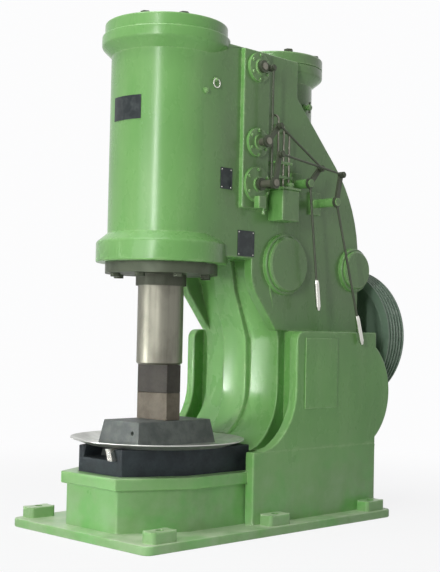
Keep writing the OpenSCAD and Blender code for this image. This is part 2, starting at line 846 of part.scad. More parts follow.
// Round cover with a bevelled edge on a side boss; side is 1 or -1
module side_cover(side, r, y) {
    bevel = side_cover_t * 0.4;
    machine(PAINT) translate([side * (wall_hw + side_boss_h), y, cover_z]) rotate([0, side * 90, 0])
        rotate_extrude() polygon([
            [0, 0], [r, 0], [r, side_cover_t - bevel], [r - bevel, side_cover_t], [0, side_cover_t]
        ]);
}

module front_cover_right() {
    side_cover(1, front_boss_r - side_cover_margin, front_cover_y);
}

module front_cover_left() {
    side_cover(-1, front_boss_r - side_cover_margin, front_cover_y);
}

module rear_cover_right() {
    side_cover(1, rear_boss_r - side_cover_margin, rear_cover_y);
}

module rear_cover_left() {
    side_cover(-1, rear_boss_r - side_cover_margin, rear_cover_y);
}

module inspection_door() {
    machine(PAINT) block(cheek_hw, cheek_hw + door_t, door_front, door_front + door_l, door_low, door_low + door_h);
}

// Plain bearing of the crankshaft from y0 rearwards
module crank_bearing(y0) {
    machine([0.7, 0.55, 0.3]) difference() {
        y_rod(bearing_r, y0, y0 + bearing_l, crank_z);
        y_rod(journal_r + run_clear, y0 - cut, y0 + bearing_l + cut, crank_z);
    }
}

module front_bearing() {
    crank_bearing(bearing_front);
}

module rear_bearing() {
    crank_bearing(hub_end - bearing_l);
}

module bearing_cap() {
    machine(PAINT) difference() {
        y_rod(hub_r, hub_end, hub_end + cap_t, crank_z);
        y_rod(journal_r + cap_gap, hub_end - cut, hub_end + cap_t + cut, crank_z);
    }
}

// Round flange on the valve chest that keeps a rotor in its bore
module valve_flange(r, z) {
    neck = stem_r + 20;
    machine(PAINT) difference() {
        translate([chest_x, valve_y, z]) rotate([0, 90, 0]) rotate_extrude() polygon([
            [0, 0], [r, 0], [r, valve_flange_t * 0.55], [neck, valve_flange_t * 0.7],
            [neck, valve_flange_t], [0, valve_flange_t]
        ]);
        x_rod(stem_r + stem_gap, chest_x - cut, flange_x + cut, valve_y, z);
    }
}

module upper_valve_flange() {
    valve_flange(valve_flange_r, upper_valve_z);
}

module middle_valve_flange() {
    valve_flange(valve_flange_r, middle_valve_z);
}

module lower_valve_flange() {
    valve_flange(low_valve_flange_r, lower_valve_z);
}

// Rotor in the chest with a stem out to x1
module spindle(z, x1) {
    machine(STEEL) {
        x_rod(rotor_r, chest_x - rotor_l + gap, chest_x - gap, valve_y, z);
        x_rod(stem_r, chest_x - cut, x1, valve_y, z);
    }
}

module upper_spindle() {
    spindle(upper_valve_z, tie_plane + arm_t / 2 + head_t);
}

module middle_spindle() {
    spindle(middle_valve_z, a_plane + arm_t / 2 + head_t);
}

module lower_spindle() {
    spindle(lower_valve_z, b_plane + arm_t / 2 + head_t);
}

// Arm clamped on a valve stem, with a stud at its end
module valve_arm(x, z, end) {
    machine(DARK) difference() {
        union() {
            link(x, [valve_y, z], end, arm_hub_r, eye_r);
            stud(x, end);
        }
        x_rod(stem_r, x - arm_t, x + arm_t, valve_y, z);
    }
}

module upper_tie_arm() {
    valve_arm(tie_plane, upper_valve_z, [valve_y + tie_arm, upper_valve_z]);
}

module lower_tie_arm() {
    valve_arm(tie_plane, lower_valve_z, [valve_y + tie_arm, lower_valve_z]);
}

module middle_arm() {
    valve_arm(a_plane, middle_valve_z, [valve_y + a_arm_y, middle_valve_z + a_arm_z]);
}

module lower_push_arm() {
    valve_arm(b_plane, lower_valve_z, [valve_y + b_arm_y, lower_valve_z + b_arm_z]);
}

module tie_rod() {
    machine(DARK) rod_link(tie_rod_plane, [valve_y + tie_arm, upper_valve_z], [valve_y + tie_arm, lower_valve_z]);
}

module push_rod_a() {
    machine(DARK) rod_link(a_rod_plane, [lever_a_y + a_arm_y, lever_a_z + a_arm_z],
        [valve_y + a_arm_y, middle_valve_z + a_arm_z]);
}

module push_rod_b() {
    machine(DARK) rod_link(b_rod_plane, [lever_b_y + b_arm_y, lever_b_z + b_arm_z],
        [valve_y + b_arm_y, lower_valve_z + b_arm_z]);
}

// Foot on the wall, neck and pivot of a lever in plane x
module lever_bracket(x, y, z) {
    machine(PAINT) {
        block(wall_hw, wall_hw + bracket_t, y - bracket_w / 2, y + bracket_w / 2, z - bracket_h / 2, z + bracket_h / 2);
        x_rod(pivot_r + 10, wall_hw + bracket_t - cut, x - arm_t / 2 - gap, y, z);
        x_rod(pivot_r, x - arm_t / 2 - gap - cut, x + arm_t / 2 + gap, y, z);
        x_rod(pivot_r + 7, x + arm_t / 2 + gap, x + arm_t / 2 + gap + head_t, y, z);
    }
}

module lever_a_bracket() {
    lever_bracket(a_plane, lever_a_y, lever_a_z);
}

module lever_b_bracket() {
    lever_bracket(b_plane, lever_b_y, lever_b_z);
}

// Hand lever: flat upper arm with a stud, hub and a round bar down to the grip
module lever(x, y, z, arm_y, arm_z, lean, length) {
    machine(DARK) difference() {
        union() {
            link(x, [y, z], [y + arm_y, z + arm_z], lever_hub_r, eye_r);
            stud(x, [y + arm_y, z + arm_z]);
            translate([x, y, z]) rotate([180 + lean, 0, 0]) translate([0, 0, bar_start])
                cylinder(r = bar_r, h = length - grip_l - bar_start);
        }
        x_rod(pivot_r + run_clear, x - arm_t, x + arm_t, y, z);
    }
}

// Polished grip at the lower end of a lever
module lever_grip(x, y, z, lean, length) {
    machine(BRIGHT) translate([x, y, z]) rotate([180 + lean, 0, 0]) translate([0, 0, length - grip_l])
        rotate_extrude() polygon([
            [0, 0], [grip_r * 0.75, 0], [grip_r, grip_l * 0.12], [grip_r, grip_l * 0.88],
            [grip_r * 0.6, grip_l], [0, grip_l]
        ]);
}

module lever_a() {
    lever(a_plane, lever_a_y, lever_a_z, a_arm_y, a_arm_z, lever_a_lean, lever_a_len);
}

module lever_a_grip() {
    lever_grip(a_plane, lever_a_y, lever_a_z, lever_a_lean, lever_a_len);
}

module lever_b() {
    lever(b_plane, lever_b_y, lever_b_z, b_arm_y, b_arm_z, lever_b_lean, lever_b_len);
}

module lever_b_grip() {
    lever_grip(b_plane, lever_b_y, lever_b_z, lever_b_lean, lever_b_len);
}

module lubricator_case() {
    machine(PAINT) block(wall_hw, wall_hw + lube_d, lube_y, lube_y + lube_l, lube_z, lube_z + lube_h);
}

module lubricator_lid() {
    lip = 6;
    machine(PAINT) block(wall_hw, wall_hw + lube_d + lip, lube_y - lip, lube_y + lube_l + lip,
        lube_z + lube_h, lube_z + lube_h + lube_lid_t);
}

// Thin pipes from the lid up the wall, each bent into the wall at its top
module oil_pipes() {
    start = lube_z + lube_h + lube_lid_t;
    out = pipe_bend + 14;
    machine(STEEL) for (i = [0:pipes - 1]) {
        y = lube_y + lube_l * (i + 0.5) / pipes;
        top = start + pipe_h - i * 40;
        z_rod(pipe_r, start, top, wall_hw + out, y);
        translate([wall_hw + out - pipe_bend, y, top]) rotate([90, 0, 0])
            rotate_extrude(angle = 90) translate([pipe_bend, 0]) circle(r = pipe_r);
        x_rod(pipe_r, wall_hw, wall_hw + out - pipe_bend, y, top + pipe_bend);
    }
}

// Ram with its piston, chamfered foot and the tenon pocket of the upper die
module ram() {
    chamfer = 10;
    top = piston_z + piston_h;
    machine(STEEL) difference() {
        rotate_extrude() polygon([
            [0, ram_z], [ram_r - chamfer, ram_z], [ram_r, ram_z + chamfer], [ram_r, piston_z],
            [bore_r - piston_clear, piston_z], [bore_r - piston_clear, top], [0, top]
        ]);
        tenon(ram_z - cut, 1, die_key_t);
        tenon(ram_z, 1, die_key_t);
        for (z = ring_heights()) translate([0, 0, z]) ring_space(bore_r - piston_clear, 0);
    }
}

function ring_heights() = [piston_z + piston_h * 0.3, piston_z + piston_h * 0.7];

// Ring-shaped space under a piston's surface; the ring itself stands out to the bore
module ring_space(r, out) {
    difference() {
        cylinder(r = r + (out > 0 ? out : cut), h = ring_h);
        translate([0, 0, -cut]) cylinder(r = r - ring_depth, h = ring_h + 2 * cut);
    }
}

module piston_rings() {
    machine(DARK) for (z = ring_heights())
        translate([0, 0, z]) ring_space(bore_r - piston_clear, piston_clear - ring_play);
}

module upper_die() {
    machine([0.3, 0.28, 0.26]) {
        block(-die_l / 2, die_l / 2, -die_w / 2, die_w / 2, upper_die_z, ram_z);
        tenon(ram_z - cut, 1, 0);
        tenon(ram_z, 1, 0);
    }
}

module upper_die_key() {
    machine(STEEL) die_key(ram_z, 1);
}

// Overhung crank: disc, journal and wheel seat
module crankshaft() {
    machine(STEEL) difference() {
        union() {
            y_rod(crank_disc_r, disc_y, disc_y + disc_t, crank_z);
            y_rod(journal_r, disc_y + disc_t - cut, wheel_hub_front, crank_z);
            y_rod(seat_r, wheel_hub_front - cut, wheel_rear + nut_t + head_t, crank_z);
        }
        wheel_key_space();
    }
}

module wheel_key_space() {
    block(-key_w / 2, key_w / 2, wheel_hub_front, wheel_rear, crank_z + seat_r - key_h, crank_z + seat_r + key_h);
}

// Grooved wheel with a dished web, holes and a hub
module flywheel() {
    pitch = wheel_w / (groove_count + 0.4);
    mid = wheel_y + wheel_w / 2;
    web_r = wheel_r - wheel_rim_t;
    machine(IRON) difference() {
        translate([0, 0, crank_z]) rotate([-90, 0, 0]) rotate_extrude() polygon(concat(
            [[seat_r, wheel_hub_front], [wheel_hub_r, wheel_hub_front], [wheel_hub_r, mid - wheel_web_t / 2],
                [web_r, mid - wheel_web_t / 2], [web_r, wheel_y], [wheel_r, wheel_y]],
            [for (i = [0:groove_count - 1], k = [0:3]) [
                wheel_r - (k == 1 || k == 2 ? groove_depth : 0),
                wheel_y + pitch * (0.2 + i + [0.1, 0.35, 0.65, 0.9][k])
            ]],
            [[wheel_r, wheel_rear], [web_r, wheel_rear], [web_r, mid + wheel_web_t / 2],
                [wheel_hub_r, mid + wheel_web_t / 2], [wheel_hub_r, wheel_rear], [seat_r, wheel_rear]]
        ));
        wheel_key_space();
    }
}

module flywheel_key() {
    machine(STEEL) wheel_key_space();
}

module flywheel_nut() {
    machine(DARK) difference() {
        translate([0, wheel_rear, crank_z]) rotate([-90, 0, 0]) cylinder(r = nut_r, h = nut_t, $fn = 6);
        y_rod(seat_r, wheel_rear - cut, wheel_rear + nut_t + cut, crank_z);
    }
}

// Trunk piston, open below for the connecting rod
module compressor_piston() {
    top = comp_piston_z + comp_piston_h;
    r = comp_bore_r - piston_clear;
    machine(STEEL) difference() {
        z_rod(r, comp_piston_z, top, 0, comp_y);
        z_rod(r - skirt_wall, comp_piston_z - cut, top - crown_t, 0, comp_y);
        y_rod(wrist_pin_r, comp_y - comp_bore_r, comp_y + comp_bore_r, wrist_z);
        translate([0, comp_y, top - crown_t * 0.6]) ring_space(r, 0);
    }
}

module compressor_rings() {
    machine(DARK) translate([0, comp_y, comp_piston_z + comp_piston_h - crown_t * 0.6])
        ring_space(comp_bore_r - piston_clear, piston_clear - ring_play);
}

module wrist_pin() {
    half = sqrt(pow(comp_bore_r - piston_clear, 2) - pow(wrist_pin_r, 2)) - 3;
    machine(STEEL) y_rod(wrist_pin_r, comp_y - half, comp_y + half, wrist_z);
}

// Rod between wrist pin and crank pin, at the bottom of its stroke
module connecting_rod() {
    low = wrist_z - rod_len;
    machine(STEEL) difference() {
        union() {
            y_rod(small_eye_r, comp_y - rod_half_t, comp_y + rod_half_t, wrist_z);
            y_rod(big_eye_r, comp_y - rod_half_t, comp_y + rod_half_t, low);
            block(-shank_hw, shank_hw, comp_y - rod_half_t * 0.6, comp_y + rod_half_t * 0.6, low, wrist_z);
        }
        y_rod(wrist_pin_r + run_clear, comp_y - 2 * rod_half_t, comp_y + 2 * rod_half_t, wrist_z);
        y_rod(crank_pin_r, comp_y - 2 * rod_half_t, comp_y + 2 * rod_half_t, low);
    }
}

// Crank pin in the rod's big eye; it runs close to the crank disc's face
module crank_pin() {
    machine(STEEL) y_rod(crank_pin_r, comp_y - rod_half_t - head_t, disc_y - gap, wrist_z - rod_len);
}

base_frame();
column_body();
anvil_block();
sow_block();
sow_key();
lower_die();
lower_die_key();
scale_tray();
guide_bush();
gland_ring();
gland_bolts();
work_cover();
work_cover_bolts();
compressor_cover();
compressor_cover_bolts();
front_cover_right();
front_cover_left();
rear_cover_right();
rear_cover_left();
inspection_door();
front_bearing();
rear_bearing();
bearing_cap();
upper_valve_flange();
middle_valve_flange();
lower_valve_flange();
lubricator_case();
lubricator_lid();
oil_pipes();
lever_a_bracket();
lever_b_bracket();
ram();
piston_rings();
upper_die();
upper_die_key();
crankshaft();
flywheel();
flywheel_key();
flywheel_nut();
compressor_piston();
compressor_rings();
wrist_pin();
connecting_rod();
crank_pin();
upper_spindle();
upper_tie_arm();
middle_spindle();
middle_arm();
lower_spindle();
lower_tie_arm();
lower_push_arm();
tie_rod();
push_rod_a();
push_rod_b();
lever_a();
lever_a_grip();
lever_b();
lever_b_grip();
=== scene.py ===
"""Dresses the single-column air forging hammer, and sets its camera, floor and light.

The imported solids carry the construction. This script gives every surface its finish, rounds the
edges of the castings and blocks, and adds the small fittings that sit on them.
"""

from __future__ import annotations

import json
import logging
import math
from contextlib import contextmanager
from dataclasses import dataclass
from enum import Enum
from typing import Any, ClassVar, Iterable, Iterator, Sequence, Union

import bpy
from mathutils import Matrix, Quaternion, Vector

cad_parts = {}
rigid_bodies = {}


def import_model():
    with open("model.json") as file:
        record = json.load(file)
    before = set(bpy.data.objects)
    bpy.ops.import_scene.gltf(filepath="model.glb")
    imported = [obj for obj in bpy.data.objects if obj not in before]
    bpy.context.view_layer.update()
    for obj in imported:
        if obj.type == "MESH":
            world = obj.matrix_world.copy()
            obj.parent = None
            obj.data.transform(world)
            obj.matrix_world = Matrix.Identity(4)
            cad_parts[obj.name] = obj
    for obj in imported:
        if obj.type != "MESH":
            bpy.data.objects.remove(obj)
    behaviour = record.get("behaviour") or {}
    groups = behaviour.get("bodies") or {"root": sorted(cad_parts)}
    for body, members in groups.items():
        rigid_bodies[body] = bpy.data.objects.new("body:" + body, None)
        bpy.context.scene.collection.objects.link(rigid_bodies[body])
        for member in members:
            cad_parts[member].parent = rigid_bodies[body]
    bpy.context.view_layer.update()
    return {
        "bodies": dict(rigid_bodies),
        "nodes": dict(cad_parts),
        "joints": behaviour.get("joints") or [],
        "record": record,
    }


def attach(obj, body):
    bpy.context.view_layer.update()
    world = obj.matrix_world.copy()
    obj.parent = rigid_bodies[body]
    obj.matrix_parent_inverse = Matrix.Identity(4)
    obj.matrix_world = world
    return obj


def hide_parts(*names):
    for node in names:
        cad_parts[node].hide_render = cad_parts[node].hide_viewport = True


LOG = logging.getLogger("forging_hammer")

Colour = tuple[float, float, float]
Point = tuple[float, float, float]
Profile = Sequence[tuple[float, float]]
Piece = bpy.types.Object

# Face of the column's right wall, and how deep a fitting's foot reaches into what carries it.
WALL_X = 0.274
SUNK = 0.001

QUARTER_TURN = math.pi / 2
FULL_TURN = 2 * math.pi
EVEN: Point = (1.0, 1.0, 1.0)


class Slot(Enum):
    """Material slots of the record."""

    PAINT = "green_paint"
    ANVIL = "anvil_iron"
    SOW = "sow_steel"
    LOWER_DIE = "lower_die_steel"
    UPPER_DIE = "upper_die_steel"
    RAM = "ram_steel"
    TRAY = "tray_steel"
    BRIGHT = "bright_steel"
    DARK = "dark_steel"
    WHEEL = "wheel_iron"
    BRONZE = "bearing_bronze"


class Axis(Enum):
    """The three axes, each with the Euler angles that turn +Z onto it."""

    X = (0.0, QUARTER_TURN, 0.0)
    Y = (-QUARTER_TURN, 0.0, 0.0)
    Z = (0.0, 0.0, 0.0)


class Ray(Enum):
    """Kinds of light path that the floor and the world tell apart."""

    CAMERA = "Is Camera Ray"
    GLOSSY = "Is Glossy Ray"
    TRANSMISSION = "Is Transmission Ray"


def linear(red: int, green: int, blue: int) -> Colour:
    """Turns a display colour of 0 to 255 into the linear colour that shaders take.

    Args:
        red: Red part.
        green: Green part.
        blue: Blue part.

    Returns:
        The linear colour.
    """
    # The display curve: a straight foot up to the knee, and a power above it.
    brightest, knee, foot, shift, power = 255, 0.04045, 12.92, 0.055, 2.4

    def channel(value: int) -> float:
        """Linear value of one part."""
        part = value / brightest
        return part / foot if part <= knee else ((part + shift) / (1 + shift)) ** power

    return channel(red), channel(green), channel(blue)


@dataclass(frozen=True)
class Step:
    """A smooth step from least, at low, to most, at high; low may lie above high."""

    low: float
    high: float
    least: float = 0.0
    most: float = 1.0


@dataclass(frozen=True)
class Pattern:
    """Noise on object coordinates.

    Its fields are the waves in a metre, the count of finer octaves, the step that shows, the scale
    along each axis and the weight of the finer octaves.
    """

    scale: float
    detail: float
    step: Step = Step(0.0, 1.0)
    stretch: Point = EVEN
    rough: float = 0.55


class Sock:
    """A shader value that takes part in Python arithmetic by adding Math nodes."""

    def __init__(self, nodes: Nodes, socket: bpy.types.NodeSocket) -> None:
        """Wraps an output socket of a node tree."""
        self.nodes = nodes
        self.socket = socket

    def _math(self, operation: str, first: Value, second: Value, clamp: bool = False) -> Sock:
        """Adds one Math node.

        Args:
            operation: Name of the operation.
            first: Left operand.
            second: Right operand.
            clamp: Whether the result stays between 0 and 1.

        Returns:
            The node's result.
        """
        settings = {"operation": operation, "use_clamp": clamp}
        return self.nodes.node("ShaderNodeMath", settings, {0: first, 1: second})

    def __add__(self, other: Value) -> Sock:
        """Sum with a value or socket."""
        return self._math("ADD", self, other)

    def __radd__(self, other: Value) -> Sock:
        """Sum with a value on the left."""
        return self._math("ADD", other, self)

    def __sub__(self, other: Value) -> Sock:
        """Difference from a value or socket."""
        return self._math("SUBTRACT", self, other)

    def __rsub__(self, other: Value) -> Sock:
        """Difference of a value and this socket."""
        return self._math("SUBTRACT", other, self)

    def __mul__(self, other: Value) -> Sock:
        """Product with a value or socket."""
        return self._math("MULTIPLY", self, other)

    def __rmul__(self, other: Value) -> Sock:
        """Product with a value on the left."""
        return self._math("MULTIPLY", other, self)

    def clamped(self) -> Sock:
        """This value kept between 0 and 1."""
        return self._math("ADD", self, 0.0, clamp=True)

    def larger(self, other: Value) -> Sock:
        """The larger of this and another value."""
        return self._math("MAXIMUM", self, other)

    def smooth(self, step: Step) -> Sock:
        """This value taken over a smooth step.

        Args:
            step: The step.

        Returns:
            The stepped value.
        """
        rising = step.low <= step.high
        inputs = {
            "Value": self,
            "From Min": min(step.low, step.high),
            "From Max": max(step.low, step.high),
            "To Min": step.least if rising else step.most,
            "To Max": step.most if rising else step.least,
        }
        return self.nodes.node("ShaderNodeMapRange", {"interpolation_type": "SMOOTHSTEP"}, inputs)


Value = Union[float, int, Sock]
Settings = dict[str, Any]
Inputs = dict[Union[str, int], Any]


class Nodes:
    """A node tree, and the one method by which nodes are added to it."""

    def __init__(self, tree: bpy.types.NodeTree) -> None:
        """Starts from an emptied tree."""
        self.tree = tree
        self.tree.nodes.clear()

    def add(
        self, kind: str, settings: Settings | None = None, inputs: Inputs | None = None
    ) -> bpy.types.Node:
        """Adds a node.

        Args:
            kind: Blender's name of the node type.
            settings: Properties, which are set first.
            inputs: Values or links of the node's sockets.

        Returns:
            The node.
        """
        node = self.tree.nodes.new(kind)
        for key, value in (settings or {}).items():
            setattr(node, key, value)
        for key, value in (inputs or {}).items():
            self.feed(node.inputs[key], value)
        return node

    def node(
        self, kind: str, settings: Settings | None = None, inputs: Inputs | None = None, out: str | int = 0
    ) -> Sock:
        """Adds a node and takes one of its outputs.

        Args:
            kind: Blender's name of the node type.
            settings: Properties, which are set first.
            inputs: Values or links of the node's sockets.
            out: The output to take.

        Returns:
            The chosen output.
        """
        return Sock(self, self.add(kind, settings, inputs).outputs[out])

    def feed(self, socket: bpy.types.NodeSocket, value: Any) -> None:
        """Links a socket, or sets its value when a plain number or colour is given.

        Args:
            socket: The input socket.
            value: A socket to link, a number, a vector or a colour.
        """
        if isinstance(value, Sock):
            self.tree.links.new(value.socket, socket)
        elif socket.type == "RGBA":
            socket.default_value = (*value, 1.0)
        else:
            socket.default_value = value

    def ray(self, kind: Ray) -> Sock:
        """1 for light paths of one kind, and 0 for others."""
        return self.node("ShaderNodeLightPath", out=kind.value)


class FinishTree(Nodes):
    """The node tree of one material, with short calls for the nodes that finishes need."""

    # Sockets of a Mix node when it mixes colours.
    MIX_FACTOR, MIX_FIRST, MIX_SECOND, MIX_RESULT = 0, 6, 7, 2

    # Rays of the edge mask, and how fast it fills as the surface turns.
    EDGE_SAMPLES = 4
    EDGE_GAIN = 6.0

    def __init__(self, name: str) -> None:
        """Makes a material with a principled shader.

        Args:
            name: Name of the material.
        """
        self.material = bpy.data.materials.new(name)
        self.material.use_nodes = True
        super().__init__(self.material.node_tree)
        self.shader = self.add("ShaderNodeBsdfPrincipled")
        self.surface = Sock(self, self.shader.outputs["BSDF"])
        self.output = self.add("ShaderNodeOutputMaterial", inputs={"Surface": self.surface})

    def set(self, **values: Any) -> None:
        """Feeds the principled shader's inputs; underscores stand for spaces."""
        for key, value in values.items():
            self.feed(self.shader.inputs[key.replace("_", " ").title().replace("Ior", "IOR")], value)

    def place(self, stretch: Point = EVEN) -> Sock:
        """Object coordinates, stretched by a factor along each axis.

        Args:
            stretch: Scale of the pattern along X, Y and Z.

        Returns:
            The coordinates.
        """
        coords = self.node("ShaderNodeTexCoord", out="Object")
        if stretch == EVEN:
            return coords
        return self.node("ShaderNodeMapping", inputs={"Vector": coords, "Scale": stretch})

    def normal(self) -> Sock:
        """The surface's own normal."""
        return self.node("ShaderNodeNewGeometry", out="Normal")

    def along(self, vector: Sock, axis: Axis) -> Sock:
        """The part of a vector along one axis."""
        return self.node("ShaderNodeSeparateXYZ", inputs={"Vector": vector}, out=axis.name)

    def noise(self, pattern: Pattern) -> Sock:
        """The bare noise of a pattern.

        Args:
            pattern: The pattern.

        Returns:
            The noise, between 0 and 1.
        """
        inputs = {
            "Vector": self.place(pattern.stretch),
            "Scale": pattern.scale,
            "Detail": pattern.detail,
            "Roughness": pattern.rough,
        }
        return self.node("ShaderNodeTexNoise", inputs=inputs)

    def spots(self, pattern: Pattern) -> Sock:
        """A pattern's noise taken over its step."""
        return self.noise(pattern).smooth(pattern.step)

    def mix(self, factor: Value, first: Any, second: Any) -> Sock:
        """Mixes two colours.

        Args:
            factor: Weight of the second colour.
            first: First colour or socket.
            second: Second colour or socket.

        Returns:
            The mixed colour.
        """
        inputs = {self.MIX_FACTOR: factor, self.MIX_FIRST: first, self.MIX_SECOND: second}
        return self.node("ShaderNodeMix", {"data_type": "RGBA"}, inputs, self.MIX_RESULT)

    def bump(self, height: Sock, strength: float, distance: float, normal: Sock | None = None) -> Sock:
        """Turns a height into a normal.

        Args:
            height: Height between 0 and 1.
            strength: Weight of the bump.
            distance: Real height in metres that a value of 1 stands for.
            normal: Normal to start from.

        Returns:
            The bumped normal.
        """
        inputs: Inputs = {"Height": height, "Strength": strength, "Distance": distance}
        if normal is not None:
            inputs["Normal"] = normal
        return self.node("ShaderNodeBump", inputs=inputs)

    def edge_mask(self, radius: float) -> Sock:
        """A mask that is 1 along sharp edges and 0 on open faces.

        Args:
            radius: Reach of the mask from an edge in metres.

        Returns:
            The mask.
        """
        rounded = self.node("ShaderNodeBevel", {"samples": self.EDGE_SAMPLES}, {"Radius": radius})
        inputs = {0: rounded, 1: self.normal()}
        facing = self.node("ShaderNodeVectorMath", {"operation": "DOT_PRODUCT"}, inputs, "Value")
        return ((1 - facing) * self.EDGE_GAIN).clamped()


@dataclass(frozen=True)
class Enamel:
    """Gloss enamel brushed over a cast skin, scuffed along its edges, thick and dusty near the floor, with
    painted shade greying its right-facing upper walls.
    """

    name: str
    body: Colour
    deep: Colour
    worn: Colour
    dust: Colour
    side_shade: Colour
    fresh: Colour
    roughness: float
    skin: float = 0.0016

    # The coat itself: wide clouds, streaks that run down, and fine mottling.
    CLOUDS: ClassVar[Pattern] = Pattern(1.7, 3.0, Step(0.35, 0.68, most=0.55))
    STREAKS: ClassVar[Pattern] = Pattern(5.0, 4.0, Step(0.42, 0.72, most=0.18), (1.0, 1.0, 0.22))
    MOTTLE: ClassVar[Pattern] = Pattern(34.0, 5.0, Step(0.4, 0.7, most=0.07))

    # Wear along edges: chips close to them, and scuffs further in.
    CHIPS: ClassVar[Pattern] = Pattern(85.0, 3.0, Step(0.42, 0.62, 0.21, 0.7))
    CHIP_REACH: ClassVar[float] = 0.01
    SCUFFS: ClassVar[Pattern] = Pattern(12.0, 5.0, Step(0.48, 0.66, most=0.5), (1.0, 1.0, 1.6))
    SCUFF_REACH: ClassVar[float] = 0.03

    # Near the floor: thick fresh paint, and dust that lies mostly on what faces up.
    NEAR_FLOOR: ClassVar[Step] = Step(0.55, 0.0)
    THICK: ClassVar[Pattern] = Pattern(4.5, 4.0, Step(0.46, 0.64, most=0.75))
    DRIFTS: ClassVar[Pattern] = Pattern(7.0, 5.0, Step(0.3, 0.7, 0.35, 1.0))
    LYING: ClassVar[Step] = Step(0.5, 0.9, 0.34, 0.96)

    # Painted shade: a darker, greyer patchy film on what faces right, from the work cylinder back and from
    # about a metre up.
    SIDE_SHADE_PATCHES: ClassVar[Pattern] = Pattern(3.0, 4.0, Step(0.3, 0.7, 0.595, 0.85))
    SIDE_SHADE_FACING: ClassVar[Step] = Step(0.3, 0.8)
    SIDE_SHADE_REAR: ClassVar[Step] = Step(-0.44, -0.16)
    SIDE_SHADE_HIGH: ClassVar[Step] = Step(0.75, 1.25)

    # Gloss: what the clearest spots, the smears and the dust add to the roughness.
    SMEARS: ClassVar[Pattern] = Pattern(11.0, 5.0, stretch=(1.0, 1.0, 0.5))
    CLEAREST: ClassVar[float] = -0.07
    SMEARED: ClassVar[float] = 0.16
    DUSTED: ClassVar[float] = 0.25

    # Relief: the lumps of the casting, and the paint's grain at a share of their depth.
    LUMPS: ClassVar[Pattern] = Pattern(16.0, 4.0)
    LUMP_STRENGTH: ClassVar[float] = 0.16
    GRAIN: ClassVar[Pattern] = Pattern(120.0, 2.0)
    GRAIN_STRENGTH: ClassVar[float] = 0.06
    GRAIN_SHARE: ClassVar[float] = 0.3

    def build(self) -> bpy.types.Material:
        """Makes the material.

        Returns:
            The material.
        """
        tree = FinishTree(self.name)
        colour = tree.mix(tree.spots(self.CLOUDS), self.body, self.deep)
        colour = tree.mix(tree.spots(self.STREAKS), colour, self.worn)
        colour = tree.mix(tree.spots(self.MOTTLE), colour, self.deep)
        # Painted shade: right-facing upper walls are mixed towards a darker, greyer colour.
        colour = tree.mix(self._painted_side_shade(tree), colour, self.side_shade)
        colour = tree.mix(tree.edge_mask(self.CHIP_REACH) * tree.spots(self.CHIPS), colour, self.worn)
        colour = tree.mix(tree.edge_mask(self.SCUFF_REACH) * tree.spots(self.SCUFFS), colour, self.worn)
        low = tree.along(tree.place(), Axis.Z).smooth(self.NEAR_FLOOR)
        colour = tree.mix(low * tree.spots(self.THICK), colour, self.fresh)
        dust = low * tree.spots(self.DRIFTS) * tree.along(tree.normal(), Axis.Z).smooth(self.LYING)
        colour = tree.mix(dust, colour, self.dust)
        smears = tree.noise(self.SMEARS) * self.SMEARED
        normal = tree.bump(tree.noise(self.LUMPS), self.LUMP_STRENGTH, self.skin)
        grain_depth = self.skin * self.GRAIN_SHARE
        tree.set(
            base_color=colour,
            roughness=(self.roughness + self.CLEAREST + smears + dust * self.DUSTED).clamped(),
            normal=tree.bump(tree.noise(self.GRAIN), self.GRAIN_STRENGTH, grain_depth, normal),
            specular_ior_level=0.42,
            coat_weight=0.12,
            coat_roughness=0.2,
        )
        return tree.material

    def _painted_side_shade(self, tree: FinishTree) -> Sock:
        """Painted shade: a darker grey film on the upper right wall, round the valve linkage and behind it.

        Args:
            tree: The paint's node tree.

        Returns:
            The painted shade's weight.
        """
        facing = tree.along(tree.normal(), Axis.X).smooth(self.SIDE_SHADE_FACING)
        rear = tree.along(tree.place(), Axis.Y).smooth(self.SIDE_SHADE_REAR)
        high = tree.along(tree.place(), Axis.Z).smooth(self.SIDE_SHADE_HIGH)
        return facing * rear * high * tree.spots(self.SIDE_SHADE_PATCHES)


@dataclass(frozen=True)
class TurnedSteel:
    """Ground or turned steel with drawn scratches, oil stains and a darker film."""

    name: str
    body: Colour
    film: Colour
    metallic: float
    roughness: float
    drawn: Point = (70.0, 70.0, 1.2)
    stained: float = 0.45

    # Scratches are noise that the drawn field stretches.
    LINE_SCALE: ClassVar[float] = 1.0
    LINE_DETAIL: ClassVar[float] = 3.0
    LINE_FILM: ClassVar[Step] = Step(0.45, 0.8, most=0.25)
    LINE_STRENGTH: ClassVar[float] = 0.12
    LINE_DEPTH: ClassVar[float] = 0.0006
    STAINS: ClassVar[Pattern] = Pattern(9.0, 5.0, Step(0.42, 0.75), (1.0, 1.0, 0.6))

    # What the clearest spots, and the scratches and stains, add to the roughness.
    CLEAREST: ClassVar[float] = -0.06
    MARKED: ClassVar[float] = 0.14

    def build(self) -> bpy.types.Material:
        """Makes the material.

        Returns:
            The material.
        """
        tree = FinishTree(self.name)
        lines = tree.noise(Pattern(self.LINE_SCALE, self.LINE_DETAIL, stretch=self.drawn))
        stains = tree.spots(self.STAINS)
        film = (stains * self.stained + lines.smooth(self.LINE_FILM)).clamped()
        tree.set(
            base_color=tree.mix(film, self.body, self.film),
            metallic=self.metallic,
            roughness=(self.roughness + self.CLEAREST + (lines + stains) * self.MARKED).clamped(),
            normal=tree.bump(lines, self.LINE_STRENGTH, self.LINE_DEPTH),
        )
        return tree.material


